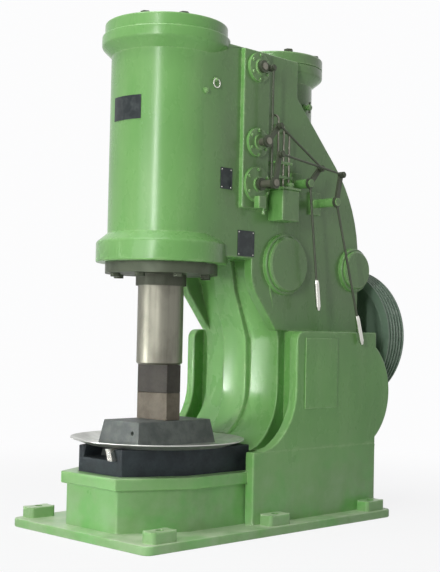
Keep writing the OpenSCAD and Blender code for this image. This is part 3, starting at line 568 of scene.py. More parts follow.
@dataclass(frozen=True)
class RoughIron:
    """Forged or cast iron with scale, pits and rubbed edges."""

    name: str
    body: Colour
    scale: Colour
    rubbed: Colour
    roughness: float = 0.58
    metallic: float = 0.3
    depth: float = 0.0008

    BLOTCHES: ClassVar[Pattern] = Pattern(14.0, 6.0, Step(0.36, 0.68))
    BLOTCH_SHARE: ClassVar[float] = 0.7
    BLOTCH_STRENGTH: ClassVar[float] = 0.25
    PITS: ClassVar[Pattern] = Pattern(70.0, 5.0, Step(0.5, 0.75, most=0.35), rough=0.65)
    PIT_STRENGTH: ClassVar[float] = 0.5
    RUBS: ClassVar[Pattern] = Pattern(40.0, 3.0, Step(0.35, 0.65, most=0.6))
    RUB_REACH: ClassVar[float] = 0.007

    # What the clearest spots and the pits add to the roughness.
    CLEAREST: ClassVar[float] = -0.1
    PITTED: ClassVar[float] = 0.25

    def build(self) -> bpy.types.Material:
        """Makes the material.

        Returns:
            The material.
        """
        tree = FinishTree(self.name)
        blotches = tree.spots(self.BLOTCHES)
        pits = tree.noise(self.PITS)
        colour = tree.mix(blotches * self.BLOTCH_SHARE, self.body, self.scale)
        colour = tree.mix(pits.smooth(self.PITS.step), colour, self.scale)
        rubbed = tree.edge_mask(self.RUB_REACH) * tree.spots(self.RUBS)
        normal = tree.bump(blotches, self.BLOTCH_STRENGTH, self.depth)
        tree.set(
            base_color=tree.mix(rubbed, colour, self.rubbed),
            metallic=self.metallic,
            roughness=(self.roughness + self.CLEAREST + pits * self.PITTED).clamped(),
            normal=tree.bump(pits, self.PIT_STRENGTH, self.depth, normal),
        )
        return tree.material


@dataclass(frozen=True)
class PlateFinish:
    """Dark enamelled sheet with a faint handled sheen, for the blank plates."""

    name: str
    body: Colour
    rubbed: Colour
    roughness: float = 0.3

    HAZE: ClassVar[Pattern] = Pattern(30.0, 4.0, Step(0.4, 0.75))
    HAZE_SHARE: ClassVar[float] = 0.35
    HAZE_ROUGH: ClassVar[float] = 0.2
    HAZE_STRENGTH: ClassVar[float] = 0.1
    HAZE_DEPTH: ClassVar[float] = 0.0004
    EDGE_REACH: ClassVar[float] = 0.002
    EDGE_SHARE: ClassVar[float] = 0.6

    def build(self) -> bpy.types.Material:
        """Makes the material.

        Returns:
            The material.
        """
        tree = FinishTree(self.name)
        haze = tree.spots(self.HAZE)
        edges = tree.edge_mask(self.EDGE_REACH)
        colour = tree.mix(haze * self.HAZE_SHARE, self.body, self.rubbed)
        tree.set(
            base_color=tree.mix(edges * self.EDGE_SHARE, colour, self.rubbed),
            metallic=0.2,
            roughness=(self.roughness + haze * self.HAZE_ROUGH).clamped(),
            normal=tree.bump(haze, self.HAZE_STRENGTH, self.HAZE_DEPTH),
        )
        return tree.material


class Finishes:
    """Every finish of the hammer, made once and handed out by slot."""

    PLAN: dict[Slot, Enamel | TurnedSteel | RoughIron] = {
        Slot.PAINT: Enamel(
            "green_enamel",
            body=linear(120, 178, 98),
            deep=linear(102, 158, 82),
            worn=linear(174, 208, 150),
            dust=linear(206, 222, 190),
            # Painted shade colour of the right-facing upper walls.
            side_shade=linear(107, 134, 92),
            fresh=linear(98, 186, 78),
            roughness=0.27,
        ),
        Slot.WHEEL: Enamel(
            "wheel_enamel",
            body=linear(118, 142, 122),
            deep=linear(82, 104, 90),
            worn=linear(166, 180, 166),
            dust=linear(110, 120, 110),
            # Painted shade colour of the right-facing upper walls.
            side_shade=linear(104, 120, 106),
            fresh=linear(104, 128, 108),
            roughness=0.34,
        ),
        Slot.ANVIL: RoughIron(
            "anvil_skin",
            body=linear(48, 56, 60),
            scale=linear(30, 36, 40),
            rubbed=linear(104, 108, 106),
            roughness=0.62,
            metallic=0.35,
            depth=0.0022,
        ),
        Slot.SOW: RoughIron(
            "sow_skin",
            body=linear(100, 105, 102),
            scale=linear(68, 74, 72),
            rubbed=linear(140, 142, 137),
            depth=0.0022,
        ),
        Slot.LOWER_DIE: RoughIron(
            "lower_die_skin",
            body=linear(106, 99, 86),
            scale=linear(82, 75, 64),
            rubbed=linear(140, 133, 120),
        ),
        Slot.UPPER_DIE: RoughIron(
            "upper_die_skin",
            body=linear(60, 57, 50),
            scale=linear(44, 41, 36),
            rubbed=linear(96, 91, 82),
        ),
        Slot.RAM: TurnedSteel(
            "ram_polish",
            body=linear(134, 133, 120),
            film=linear(88, 84, 75),
            metallic=0.75,
            roughness=0.42,
        ),
        Slot.TRAY: TurnedSteel(
            "tray_sheet",
            body=linear(206, 207, 202),
            film=linear(128, 128, 124),
            metallic=0.85,
            roughness=0.34,
            drawn=(8.0, 8.0, 8.0),
        ),
        Slot.BRIGHT: TurnedSteel(
            "grip_polish",
            body=linear(222, 221, 213),
            film=linear(168, 166, 156),
            metallic=1.0,
            roughness=0.24,
            drawn=(90.0, 90.0, 4.0),
            stained=0.4,
        ),
        Slot.DARK: TurnedSteel(
            "dark_steel_skin",
            body=linear(82, 90, 72),
            film=linear(56, 62, 50),
            metallic=0.35,
            roughness=0.46,
            drawn=(24.0, 24.0, 24.0),
        ),
        Slot.BRONZE: TurnedSteel(
            "guide_bronze",
            body=linear(84, 88, 74),
            film=linear(58, 60, 48),
            metallic=0.4,
            roughness=0.55,
            drawn=(60.0, 60.0, 2.0),
        ),
    }
    PLATE = PlateFinish("plate_enamel", body=linear(34, 42, 44), rubbed=linear(92, 100, 98))

    def __init__(self) -> None:
        """Builds the materials."""
        self.by_slot = {slot: finish.build() for slot, finish in self.PLAN.items()}
        self.plate = self.PLATE.build()

    def dress_nodes(self, frame: dict[str, Any]) -> None:
        """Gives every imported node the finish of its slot.

        Args:
            frame: The loaded frame.
        """
        for entry in frame["record"]["subparts"]:
            node = frame["nodes"][entry["node"]]
            node.data.materials.clear()
            node.data.materials.append(self.by_slot[Slot(entry["material_slot"])])


class Bench:
    """Hand tools: adds, shapes and finishes pieces with Blender's operators."""

    # Points closer than this are one, in a turned piece and in a bent wire.
    MERGE_TURNED = 1e-6
    MERGE_WIRE = 1e-5

    # Faces of a turned piece that meet at less than this angle are shaded as one.
    SMOOTH_TURNED = math.radians(35)

    # Segments round a wire, and along a ring of it.
    WIRE_STEPS = 16
    RING_STEPS = 40

    @staticmethod
    def clear() -> None:
        """Deselects everything."""
        bpy.ops.object.select_all(action="DESELECT")

    @staticmethod
    def pick(piece: Piece) -> None:
        """Selects one piece and makes it active.

        Args:
            piece: The piece.
        """
        Bench.clear()
        piece.select_set(True)
        bpy.context.view_layer.objects.active = piece

    @staticmethod
    @contextmanager
    def editing(everything: bool = True) -> Iterator[None]:
        """Edit mode on the active piece, which is left again when the block ends.

        Args:
            everything: Whether the block starts with all of the piece selected.

        Returns:
            The guard of the block.
        """
        bpy.ops.object.mode_set(mode="EDIT")
        if everything:
            bpy.ops.mesh.select_all(action="SELECT")
        yield
        bpy.ops.object.mode_set(mode="OBJECT")

    @staticmethod
    def close(merge: float) -> None:
        """Merges the doubles of the piece in edit mode and turns its faces outwards.

        Args:
            merge: Distance below which two points are one.
        """
        bpy.ops.mesh.select_all(action="SELECT")
        bpy.ops.mesh.remove_doubles(threshold=merge)
        bpy.ops.mesh.normals_make_consistent(inside=False)

    @staticmethod
    def settle(name: str) -> Piece:
        """Names the active piece and moves its place into its mesh.

        Args:
            name: Name of the piece.

        Returns:
            The piece.
        """
        piece = bpy.context.object
        bpy.ops.object.transform_apply(location=True, rotation=True, scale=True)
        piece.name = name
        piece.data.name = name
        return piece

    @staticmethod
    def hang(name: str, data: bpy.types.ID, place: Sequence[float], turn: Quaternion) -> Piece:
        """Puts a camera or a lamp into the scene.

        Args:
            name: Name of the object.
            data: The camera or lamp.
            place: Where it stands.
            turn: How it is turned.

        Returns:
            The object.
        """
        thing = bpy.data.objects.new(name, data)
        bpy.context.scene.collection.objects.link(thing)
        thing.location = place
        thing.rotation_mode = "QUATERNION"
        thing.rotation_quaternion = turn
        return thing

    @staticmethod
    def block(name: str, low: Sequence[float], high: Sequence[float], edge: float, steps: int = 2) -> Piece:
        """A block between two corners, with rounded edges.

        Args:
            name: Name of the piece.
            low: Lowest corner.
            high: Highest corner.
            edge: Radius of the edges.
            steps: Segments of the rounding.

        Returns:
            The piece.
        """
        Bench.clear()
        middle = [(a + b) / 2 for a, b in zip(low, high)]
        bpy.ops.mesh.primitive_cube_add(size=1.0, location=middle)
        bpy.context.object.scale = [b - a for a, b in zip(low, high)]
        piece = Bench.settle(name)
        with Bench.editing():
            bpy.ops.mesh.bevel(offset=edge, segments=steps, affect="EDGES")
        return piece

    @staticmethod
    def turned(
        name: str,
        profile: Profile,
        centre: Sequence[float],
        axis: Axis,
        steps: int,
        swing: float = 0.0,
    ) -> Piece:
        """A piece turned from a profile of radius and height, closed at both ends.

        Args:
            name: Name of the piece.
            profile: Points from the foot to the top, as radius and height.
            centre: Place of the profile's zero.
            axis: Direction of the turning axis.
            steps: Segments round the axis.
            swing: Turn of the finished piece about the upright.

        Returns:
            The piece.
        """
        Bench.clear()
        foot_radius, foot_height = profile[0]
        bpy.ops.mesh.primitive_circle_add(vertices=steps, radius=foot_radius, fill_type="NGON")
        with Bench.editing():
            bpy.ops.transform.translate(value=(0, 0, foot_height))
            for (radius, height), (next_radius, next_height) in zip(profile, profile[1:]):
                rise = (0, 0, next_height - height)
                bpy.ops.mesh.extrude_region_move(TRANSFORM_OT_translate={"value": rise})
                ratio = next_radius / radius
                bpy.ops.transform.resize(value=(ratio, ratio, 1.0), center_override=(0, 0, next_height))
            Bench.close(Bench.MERGE_TURNED)
        piece = bpy.context.object
        piece.rotation_euler = (axis.value[0], axis.value[1], swing)
        piece.location = centre
        Bench.settle(name)
        bpy.ops.object.shade_smooth_by_angle(angle=Bench.SMOOTH_TURNED)
        return piece

    @staticmethod
    def ring(name: str, radius: float, wire: float, centre: Sequence[float], axis: Axis) -> Piece:
        """A bent round wire, spun from a circle about its middle.

        Args:
            name: Name of the piece.
            radius: Radius of the ring's middle line.
            wire: Radius of the wire.
            centre: Middle of the ring.
            axis: Direction that the ring faces.

        Returns:
            The piece.
        """
        Bench.clear()
        bpy.ops.mesh.primitive_circle_add(
            vertices=Bench.WIRE_STEPS, radius=wire, location=(radius, 0, 0), rotation=(QUARTER_TURN, 0, 0)
        )
        piece = Bench.settle(name)
        with Bench.editing():
            bpy.ops.mesh.spin(steps=Bench.RING_STEPS, angle=FULL_TURN, center=(0, 0, 0), axis=(0, 0, 1))
            Bench.close(Bench.MERGE_WIRE)
        piece.rotation_euler = axis.value
        piece.location = centre
        Bench.settle(name)
        bpy.ops.object.shade_smooth()
        return piece

    @staticmethod
    def copies(piece: Piece, shifts: Iterable[Sequence[float]], name: str) -> Piece:
        """Copies a piece to several places and joins all with the first.

        Args:
            piece: The piece to copy, itself at the first place.
            shifts: Moves from the piece to each further place.
            name: Name of the joined piece.

        Returns:
            The joined piece.
        """
        parts = [piece]
        for shift in shifts:
            copy = piece.copy()
            copy.data = piece.data.copy()
            bpy.context.scene.collection.objects.link(copy)
            copy.location = shift
            parts.append(copy)
        return Bench.joined(parts, name)

    @staticmethod
    def joined(parts: Sequence[Piece], name: str) -> Piece:
        """Joins pieces into the first of them.

        Args:
            parts: The pieces.
            name: Name of the joined piece.

        Returns:
            The joined piece.
        """
        Bench.pick(parts[0])
        for part in parts:
            part.select_set(True)
        bpy.ops.object.transform_apply(location=True, rotation=True, scale=True)
        bpy.ops.object.join()
        parts[0].name = name
        parts[0].data.name = name
        return parts[0]


class Workshop:
    """Ties pieces to the frame's bodies, slots and finishes, and reports each one."""

    def __init__(self, frame: dict[str, Any], finishes: Finishes) -> None:
        """Keeps the frame and the finishes."""
        self.frame = frame
        self.finishes = finishes

    def fit(
        self,
        piece: Piece,
        body: str,
        slot: Slot,
        material: bpy.types.Material | None = None,
        replaces: Sequence[str] = (),
    ) -> None:
        """Dresses a piece and lets it ride on a body.

        Args:
            piece: The finished piece.
            body: Name of the body that carries it.
            slot: Slot that it takes its finish from.
            material: Another material, where the slot's own doesn't show.
            replaces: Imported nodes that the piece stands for.
        """
        piece.data.materials.clear()
        piece.data.materials.append(material or self.finishes.by_slot[slot])
        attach(piece, body)
        if replaces:
            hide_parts(*replaces)
        LOG.info("%s rides on %s, %d faces", piece.name, body, len(piece.data.polygons))


@dataclass(frozen=True)
class RoundedEdges:
    """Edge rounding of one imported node, as a casting or a worked block has it.

    Castings that meet at the height joint_z without a visible joint stay sharp there. The default
    lies below every node, and so keeps no edge sharp.
    """

    node: str
    body: str
    slot: Slot
    radius: float
    joint_z: float = -1.0


# Height at which the column stands on the base, as one casting to the eye.
FOOT_JOINT_Z = 0.395


@dataclass
class CastSkins:
    """Copies of the castings and blocks with the edge radii that the solids leave out.

    Edges that turn by more than sharp are rounded, but not in narrow corners, where short or at a
    joint.
    """

    plan: tuple[RoundedEdges, ...] = (
        RoundedEdges("base_frame", "frame", Slot.PAINT, radius=0.008, joint_z=FOOT_JOINT_Z),
        RoundedEdges("column_body", "frame", Slot.PAINT, radius=0.008, joint_z=FOOT_JOINT_Z),
        RoundedEdges("anvil_block", "frame", Slot.ANVIL, radius=0.006),
        RoundedEdges("sow_block", "frame", Slot.SOW, radius=0.004),
        RoundedEdges("lower_die", "frame", Slot.LOWER_DIE, radius=0.003),
        RoundedEdges("upper_die", "ram_unit", Slot.UPPER_DIE, radius=0.003),
        RoundedEdges("lubricator_case", "frame", Slot.PAINT, radius=0.006),
        RoundedEdges("lubricator_lid", "frame", Slot.PAINT, radius=0.003),
        RoundedEdges("inspection_door", "frame", Slot.PAINT, radius=0.003),
    )
    sharp: float = math.radians(38)
    narrow: float = math.radians(30)
    shortest: float = 0.006
    joint_reach: float = 0.002
    merge: float = 2e-5
    steps: int = 3
    smooth: float = math.radians(32)
    face_weight: int = 80

    def build(self, shop: Workshop) -> None:
        """Makes every copy of the plan.

        Args:
            shop: The workshop.
        """
        for plan in self.plan:
            skin = self._rounded(shop.frame["nodes"][plan.node], plan)
            shop.fit(skin, plan.body, plan.slot, replaces=[plan.node])

    def _rounded(self, source: Piece, plan: RoundedEdges) -> Piece:
        """Copies a node and rounds its sharp edges.

        Args:
            source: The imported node.
            plan: Radius and joint of the copy.

        Returns:
            The rounded copy.
        """
        skin = bpy.data.objects.new(plan.node + "_skin", source.data.copy())
        bpy.context.scene.collection.objects.link(skin)
        Bench.pick(skin)
        bpy.ops.mesh.customdata_custom_splitnormals_clear()
        with Bench.editing():
            bpy.ops.mesh.select_mode(type="EDGE")
            bpy.ops.mesh.remove_doubles(threshold=self.merge)
            bpy.ops.mesh.select_all(action="DESELECT")
            bpy.ops.mesh.edges_select_sharp(sharpness=self.sharp)
        self._keep_clean_edges(skin.data, plan.joint_z)
        with Bench.editing(everything=False):
            bpy.ops.mesh.bevel(
                offset=plan.radius,
                segments=self.steps,
                affect="EDGES",
                clamp_overlap=False,
                loop_slide=False,
            )
        bpy.ops.object.shade_smooth_by_angle(angle=self.smooth)
        bpy.ops.object.modifier_add(type="WEIGHTED_NORMAL")
        modifier = skin.modifiers[-1]
        modifier.keep_sharp = True
        modifier.weight = self.face_weight
        bpy.ops.object.modifier_apply(modifier=modifier.name)
        return skin

    def _keep_clean_edges(self, mesh: bpy.types.Mesh, joint_z: float) -> None:
        """Drops short and hollow edges, narrow corners and the edges of a joint from the selection.

        Args:
            mesh: The mesh with its sharp edges selected.
            joint_z: Height at which two castings meet without a visible joint.
        """
        sharp = [edge for edge in mesh.edges if edge.select]
        dropped = self._hollow_edges(mesh) | self._narrow_edges(mesh, sharp)
        for edge in sharp:
            ends = [mesh.vertices[end].co for end in edge.vertices]
            at_joint = all(abs(end.z - joint_z) < self.joint_reach for end in ends)
            if at_joint or (ends[1] - ends[0]).length < self.shortest:
                dropped.add(edge.index)
        for element in (*mesh.polygons, *mesh.edges, *mesh.vertices):
            element.select = False
        for edge in sharp:
            if edge.index not in dropped:
                edge.select = True
                for end in edge.vertices:
                    mesh.vertices[end].select = True

    def _narrow_edges(self, mesh: bpy.types.Mesh, sharp: Sequence[bpy.types.MeshEdge]) -> set[int]:
        """Finds the sharp edges that meet another at a narrow angle.

        Args:
            mesh: The mesh.
            sharp: Its sharp edges.

        Returns:
            The numbers of those edges.
        """
        meeting: dict[int, list[bpy.types.MeshEdge]] = {}
        for edge in sharp:
            for vertex in edge.vertices:
                meeting.setdefault(vertex, []).append(edge)
        narrow: set[int] = set()
        for vertex, edges in meeting.items():
            for index, first in enumerate(edges):
                away = self._direction(mesh, first, vertex)
                for second in edges[index + 1:]:
                    if away.angle(self._direction(mesh, second, vertex), 0.0) < self.narrow:
                        narrow.update((first.index, second.index))
        return narrow

    @staticmethod
    def _hollow_edges(mesh: bpy.types.Mesh) -> set[int]:
        """Finds the edges of inner corners, where a rounding would have to add material.

        Args:
            mesh: The mesh.

        Returns:
            The numbers of those edges.
        """
        number = {edge.key: edge.index for edge in mesh.edges}
        first_face: dict[tuple[int, int], bpy.types.MeshPolygon] = {}
        hollow: set[int] = set()
        for face in mesh.polygons:
            for key in face.edge_keys:
                other = first_face.setdefault(key, face)
                if other is not face and (face.center - other.center).dot(other.normal) > 0:
                    hollow.add(number[key])
        return hollow

    @staticmethod
    def _direction(mesh: bpy.types.Mesh, edge: bpy.types.MeshEdge, start: int) -> Vector:
        """The edge as a vector away from one of its ends.

        Args:
            mesh: The mesh.
            edge: The edge.
            start: Number of the point at that end.

        Returns:
            The vector.
        """
        first, second = edge.vertices
        end = second if first == start else first
        return mesh.vertices[end].co - mesh.vertices[start].co


@dataclass(frozen=True)
class FlatPlate:
    """Place and size of a blank plate on the right wall."""

    name: str
    y: float
    z: float
    width: float
    height: float


@dataclass
class BlankPlates:
    """Three bare plates: one bent round the work cylinder and two on the right wall."""

    ram_y: float = -0.383
    cylinder_r: float = 0.275
    thickness: float = 0.003
    bent_z: float = 2.066
    bent_height: float = 0.117
    bent_from: float = math.radians(-15)
    bent_arc: float = math.radians(38)
    bent_steps: int = 16
    bent_smooth: float = math.radians(30)
    flat: tuple[FlatPlate, ...] = (
        FlatPlate("upper_wall_plate", y=-0.211, z=1.749, width=0.081, height=0.106),
        FlatPlate("lower_wall_plate", y=-0.061, z=1.435, width=0.121, height=0.13),
    )
    edge: float = 0.0006
    border: float = 0.005
    hollow: float = 0.001
    screw_inset: float = 0.009
    screw_sunk: float = 0.0012
    screw_steps: int = 16

    SCREW: ClassVar[Profile] = ((0.0036, 0.0), (0.0036, 0.0012), (0.0026, 0.0024), (0.001, 0.003))
    FACES_RIGHT: ClassVar[float] = 0.99

    def build(self, shop: Workshop) -> None:
        """Makes the plates and their screws.

        Args:
            shop: The workshop.
        """
        shop.fit(self._bent(), "frame", Slot.DARK, shop.finishes.plate)
        for plate in self.flat:
            shop.fit(self._flat(plate), "frame", Slot.DARK, shop.finishes.plate)
            shop.fit(self._screws(plate), "frame", Slot.BRIGHT)

    def _bent(self) -> Piece:
        """Spins an upright strip round the cylinder into a bent plate.

        Returns:
            The bent plate.
        """
        Bench.clear()
        start = self.bent_from
        radius = self.cylinder_r + self.thickness / 2
        place = (math.sin(start) * radius, self.ram_y - math.cos(start) * radius, self.bent_z)
        turn = (QUARTER_TURN, 0, start + QUARTER_TURN)
        bpy.ops.mesh.primitive_plane_add(size=1.0, location=place, rotation=turn)
        bpy.context.object.scale = (self.thickness, self.bent_height, 1)
        plate = Bench.settle("cylinder_plate")
        middle = (0, self.ram_y, 0)
        with Bench.editing():
            bpy.ops.mesh.spin(steps=self.bent_steps, angle=-self.bent_arc, center=middle, axis=(0, 0, 1))
            bpy.ops.mesh.select_all(action="SELECT")
            bpy.ops.mesh.normals_make_consistent(inside=False)
        bpy.ops.object.shade_smooth_by_angle(angle=self.bent_smooth)
        return plate

    def _flat(self, plate: FlatPlate) -> Piece:
        """A flat plate with a raised border.

        Args:
            plate: Its place and size.

        Returns:
            The plate.
        """
        low = (WALL_X, plate.y - plate.width / 2, plate.z - plate.height / 2)
        high = (WALL_X + self.thickness, plate.y + plate.width / 2, plate.z + plate.height / 2)
        piece = Bench.block(plate.name, low, high, self.edge, 1)
        with Bench.editing(everything=False):
            bpy.ops.mesh.select_mode(type="FACE")
            bpy.ops.mesh.select_all(action="DESELECT")
        half = plate.width * plate.height / 2
        for face in piece.data.polygons:
            face.select = face.normal.x > self.FACES_RIGHT and face.area > half
        with Bench.editing(everything=False):
            bpy.ops.mesh.inset(thickness=self.border, depth=-self.hollow)
        return piece

    def _screws(self, plate: FlatPlate) -> Piece:
        """Domed screws in the four corners of a flat plate.

        Args:
            plate: The plate that they hold.

        Returns:
            The joined screws.
        """
        name = plate.name + "_screws"
        across = plate.width / 2 - self.screw_inset
        up = plate.height / 2 - self.screw_inset
        place = (WALL_X + self.thickness - self.screw_sunk, plate.y - across, plate.z - up)
        first = Bench.turned(name, self.SCREW, place, Axis.X, self.screw_steps)
        return Bench.copies(first, [(0, 2 * across, 0), (0, 0, 2 * up), (0, 2 * across, 2 * up)], name)


@dataclass(frozen=True)
class ScrewCircle:
    """Screws round one valve: their name, the valve's height and its flange's radius."""

    name: str
    z: float
    flange_r: float


@dataclass
class ValveTrim:
    """Cap screws round the valve flanges, and the stop block under the lowest valve."""

    valve_y: float = -0.023
    chest_x: float = 0.300
    seat: float = 0.0165
    circles: tuple[ScrewCircle, ...] = (
        ScrewCircle("upper_valve_screws", z=2.335, flange_r=0.074),
        ScrewCircle("middle_valve_screws", z=1.95, flange_r=0.074),
        ScrewCircle("lower_valve_screws", z=1.735, flange_r=0.09),
    )
    screws: int = 6
    head_r: float = 0.0085
    head_h: float = 0.01
    head_sides: int = 6
    head_chamfer: float = 0.8
    rim: float = 0.005
    stop_low: Point = (0.314, -0.05, 1.612)
    stop_high: Point = (0.352, 0.004, 1.675)
    stop_edge: float = 0.004
    stop_screw_shift: float = 0.012
    stop_screw_steps: int = 24

    STOP_SCREW: ClassVar[Profile] = (
        (0.006, -0.03),
        (0.009, -0.026),
        (0.009, -0.014),
        (0.005, -0.012),
        (0.005, 0.004),
    )

    def build(self, shop: Workshop) -> None:
        """Makes the screws and the stop block.

        Args:
            shop: The workshop.
        """
        for circle in self.circles:
            shop.fit(self._heads(circle), "frame", Slot.PAINT)
        stop = Bench.block("arm_stop_block", self.stop_low, self.stop_high, self.stop_edge)
        shop.fit(stop, "frame", Slot.PAINT)
        shop.fit(self._stop_screw(), "frame", Slot.PAINT)

    def _heads(self, circle: ScrewCircle) -> Piece:
        """Six-sided heads on a circle round one valve.

        Args:
            circle: Their name, height and flange.

        Returns:
            The joined heads.
        """
        pitch = circle.flange_r - self.head_r - self.rim
        start = (self.chest_x + self.seat - SUNK, self.valve_y, circle.z + pitch)
        profile = (
            (self.head_r, 0.0),
            (self.head_r, self.head_h * self.head_chamfer),
            (self.head_r * self.head_chamfer, self.head_h),
        )
        head = Bench.turned(circle.name, profile, start, Axis.X, self.head_sides)
        turns = [FULL_TURN * index / self.screws for index in range(1, self.screws)]
        moves = [(0, math.sin(turn) * pitch, (math.cos(turn) - 1) * pitch) for turn in turns]
        return Bench.copies(head, moves, circle.name)

    def _stop_screw(self) -> Piece:
        """The setting screw that hangs out of the stop block.

        Returns:
            The screw.
        """
        x, y, _ = [(a + b) / 2 + self.stop_screw_shift for a, b in zip(self.stop_low, self.stop_high)]
        place = (x, y, self.stop_low[2])
        return Bench.turned("arm_stop_screw", self.STOP_SCREW, place, Axis.Z, self.stop_screw_steps)


@dataclass
class WallFittings:
    """Small fittings at the right wall: a pull ring on its boss, a plug bolt and the oil filler's cap."""

    ring_y: float = -0.302
    ring_z: float = 2.23
    ring_boss_r: float = 0.012
    ring_r: float = 0.022
    ring_wire: float = 0.0032
    ring_out: float = 0.012
    ring_drop: float = 0.02
    bolt_y: float = -0.366
    bolt_z: float = 2.166
    bolt_r: float = 0.016
    filler_xy: tuple[float, float] = (0.35, 0.18)
    lid_top: float = 1.734
    steps: int = 32

    # A boss's profile, with shares of its radius, and the cap's.
    BOSS: ClassVar[Profile] = ((1.0, -SUNK), (1.0, 0.006), (0.7, 0.009), (0.7, 0.016), (0.4, 0.019))
    CAP: ClassVar[Profile] = (
        (0.018, -SUNK),
        (0.018, 0.012),
        (0.022, 0.013),
        (0.022, 0.024),
        (0.016, 0.028),
    )

    def build(self, shop: Workshop) -> None:
        """Makes the fittings.

        Args:
            shop: The workshop.
        """
        boss = self._boss("ring_boss", self.ring_y, self.ring_z, self.ring_boss_r)
        shop.fit(boss, "frame", Slot.PAINT)
        ring_place = (WALL_X + self.ring_out, self.ring_y, self.ring_z - self.ring_drop)
        ring = Bench.ring("pull_ring", self.ring_r, self.ring_wire, ring_place, Axis.X)
        shop.fit(ring, "frame", Slot.BRIGHT)
        bolt = self._boss("plug_bolt", self.bolt_y, self.bolt_z, self.bolt_r)
        shop.fit(bolt, "frame", Slot.PAINT)
        cap_place = (*self.filler_xy, self.lid_top)
        cap = Bench.turned("oil_filler_cap", self.CAP, cap_place, Axis.Z, self.steps)
        shop.fit(cap, "frame", Slot.PAINT)

    def _boss(self, name: str, y: float, z: float, radius: float) -> Piece:
        """A turned boss on the wall.

        Args:
            name: Name of the boss.
            y: Place along the wall.
            z: Height.
            radius: Radius of its foot.

        Returns:
            The boss.
        """
        profile = [(radius * share, height) for share, height in self.BOSS]
        return Bench.turned(name, profile, (WALL_X, y, z), Axis.X, self.steps)


@dataclass
class PipeClips:
    """Flat straps that hold the oil pipes, each on two posts from the wall."""

    strap_x: float = 0.3215
    strap_t: float = 0.004
    strap_edge: float = 0.001
    from_y: float = 0.106
    to_y: float = 0.22
    height: float = 0.014
    lowest_z: float = 1.785
    rise: float = 0.075
    post_r: float = 0.0045
    post_steps: int = 20
    head_share: float = 1.3
    head_side: float = 0.003
    crown_share: float = 0.6
    crown_top: float = 0.005

    def build(self, shop: Workshop) -> None:
        """Makes the lower strap and its copy.

        Args:
            shop: The workshop.
        """
        parts = [self._strap(), self._post(self.from_y), self._post(self.to_y)]
        lower = Bench.joined(parts, "pipe_clips")
        shop.fit(Bench.copies(lower, [(0, 0, self.rise)], "pipe_clips"), "frame", Slot.PAINT)

    def _strap(self) -> Piece:
        """The strap ahead of the pipes.

        Returns:
            The strap.
        """
        reach = self.post_r * 2
        low = (self.strap_x, self.from_y - reach, self.lowest_z)
        high = (self.strap_x + self.strap_t, self.to_y + reach, self.lowest_z + self.height)
        return Bench.block("pipe_strap", low, high, self.strap_edge)

    def _post(self, y: float) -> Piece:
        """A post with a domed screw head that carries one end of the strap.

        Args:
            y: Place along the wall.

        Returns:
            The post.
        """
        length = self.strap_x + self.strap_t - WALL_X
        head_r = self.post_r * self.head_share
        profile = (
            (self.post_r, -SUNK),
            (self.post_r, length),
            (head_r, length),
            (head_r, length + self.head_side),
            (self.post_r * self.crown_share, length + self.crown_top),
        )
        place = (WALL_X, y, self.lowest_z + self.height / 2)
        return Bench.turned("pipe_post", profile, place, Axis.X, self.post_steps)


@dataclass
class DrainCock:
    """A small cock with a cross handle on the compressor cylinder's neck."""

    axis_y: float = 0.442
    neck_r: float = 0.2
    z: float = 2.215
    swing: float = math.radians(6)
    handle_reach: float = 0.031
    body_steps: int = 28
    handle_steps: int = 20

    # The body from its boss to its nose, and the handle with a ball at each end.
    BODY: ClassVar[Profile] = (
        (0.022, -0.003),
        (0.022, 0.007),
        (0.013, 0.01),
        (0.013, 0.022),
        (0.017, 0.024),
        (0.017, 0.036),
        (0.011, 0.041),
    )
    HANDLE: ClassVar[Profile] = (
        (0.003, -0.031),
        (0.006, -0.028),
        (0.006, -0.022),
        (0.0035, -0.019),
        (0.0035, 0.019),
        (0.006, 0.022),
        (0.006, 0.028),
        (0.003, 0.031),
    )

    def build(self, shop: Workshop) -> None:
        """Makes the cock and its handle.

        Args:
            shop: The workshop.
        """
        body = Bench.turned("drain_cock", self.BODY, self._out(0.0), Axis.X, self.body_steps, self.swing)
        shop.fit(body, "frame", Slot.PAINT)
        place = self._out(self.handle_reach)
        handle = Bench.turned("drain_cock_handle", self.HANDLE, place, Axis.Z, self.handle_steps)
        shop.fit(handle, "frame", Slot.DARK)

    def _out(self, reach: float) -> Point:
        """A place out from the neck's wall by a reach."""
        radius = self.neck_r + reach
        return math.cos(self.swing) * radius, self.axis_y + math.sin(self.swing) * radius, self.z


@dataclass(frozen=True)
class PhotoCamera:
    """Camera at the photograph's angle; the frame is 440 by 572 pixels."""

    place: Point = (4.252, -4.220, 0.980)
    heading: tuple[float, float] = (-0.7068, 0.7074)
    pitch: float = math.radians(2.362)
    roll: float = 0.0209
    focal_px: float = 1141.0
    long_side_px: float = 572.0
    sensor_mm: float = 36.0
    sees_to: float = 200.0

    def build(self) -> None:
        """Makes the camera and sets it on the scene."""
        flat = Vector((*self.heading, 0.0)).normalized()
        forward = flat * math.cos(self.pitch) + Vector((0, 0, math.sin(self.pitch)))
        turn = forward.to_track_quat("-Z", "Y") @ Quaternion((0, 0, 1), self.roll)
        data = bpy.data.cameras.new("photo_camera")
        data.sensor_width = self.sensor_mm
        data.lens = self.focal_px / self.long_side_px * self.sensor_mm
        data.clip_end = self.sees_to
        bpy.context.scene.camera = Bench.hang("photo_camera", data, self.place, turn)


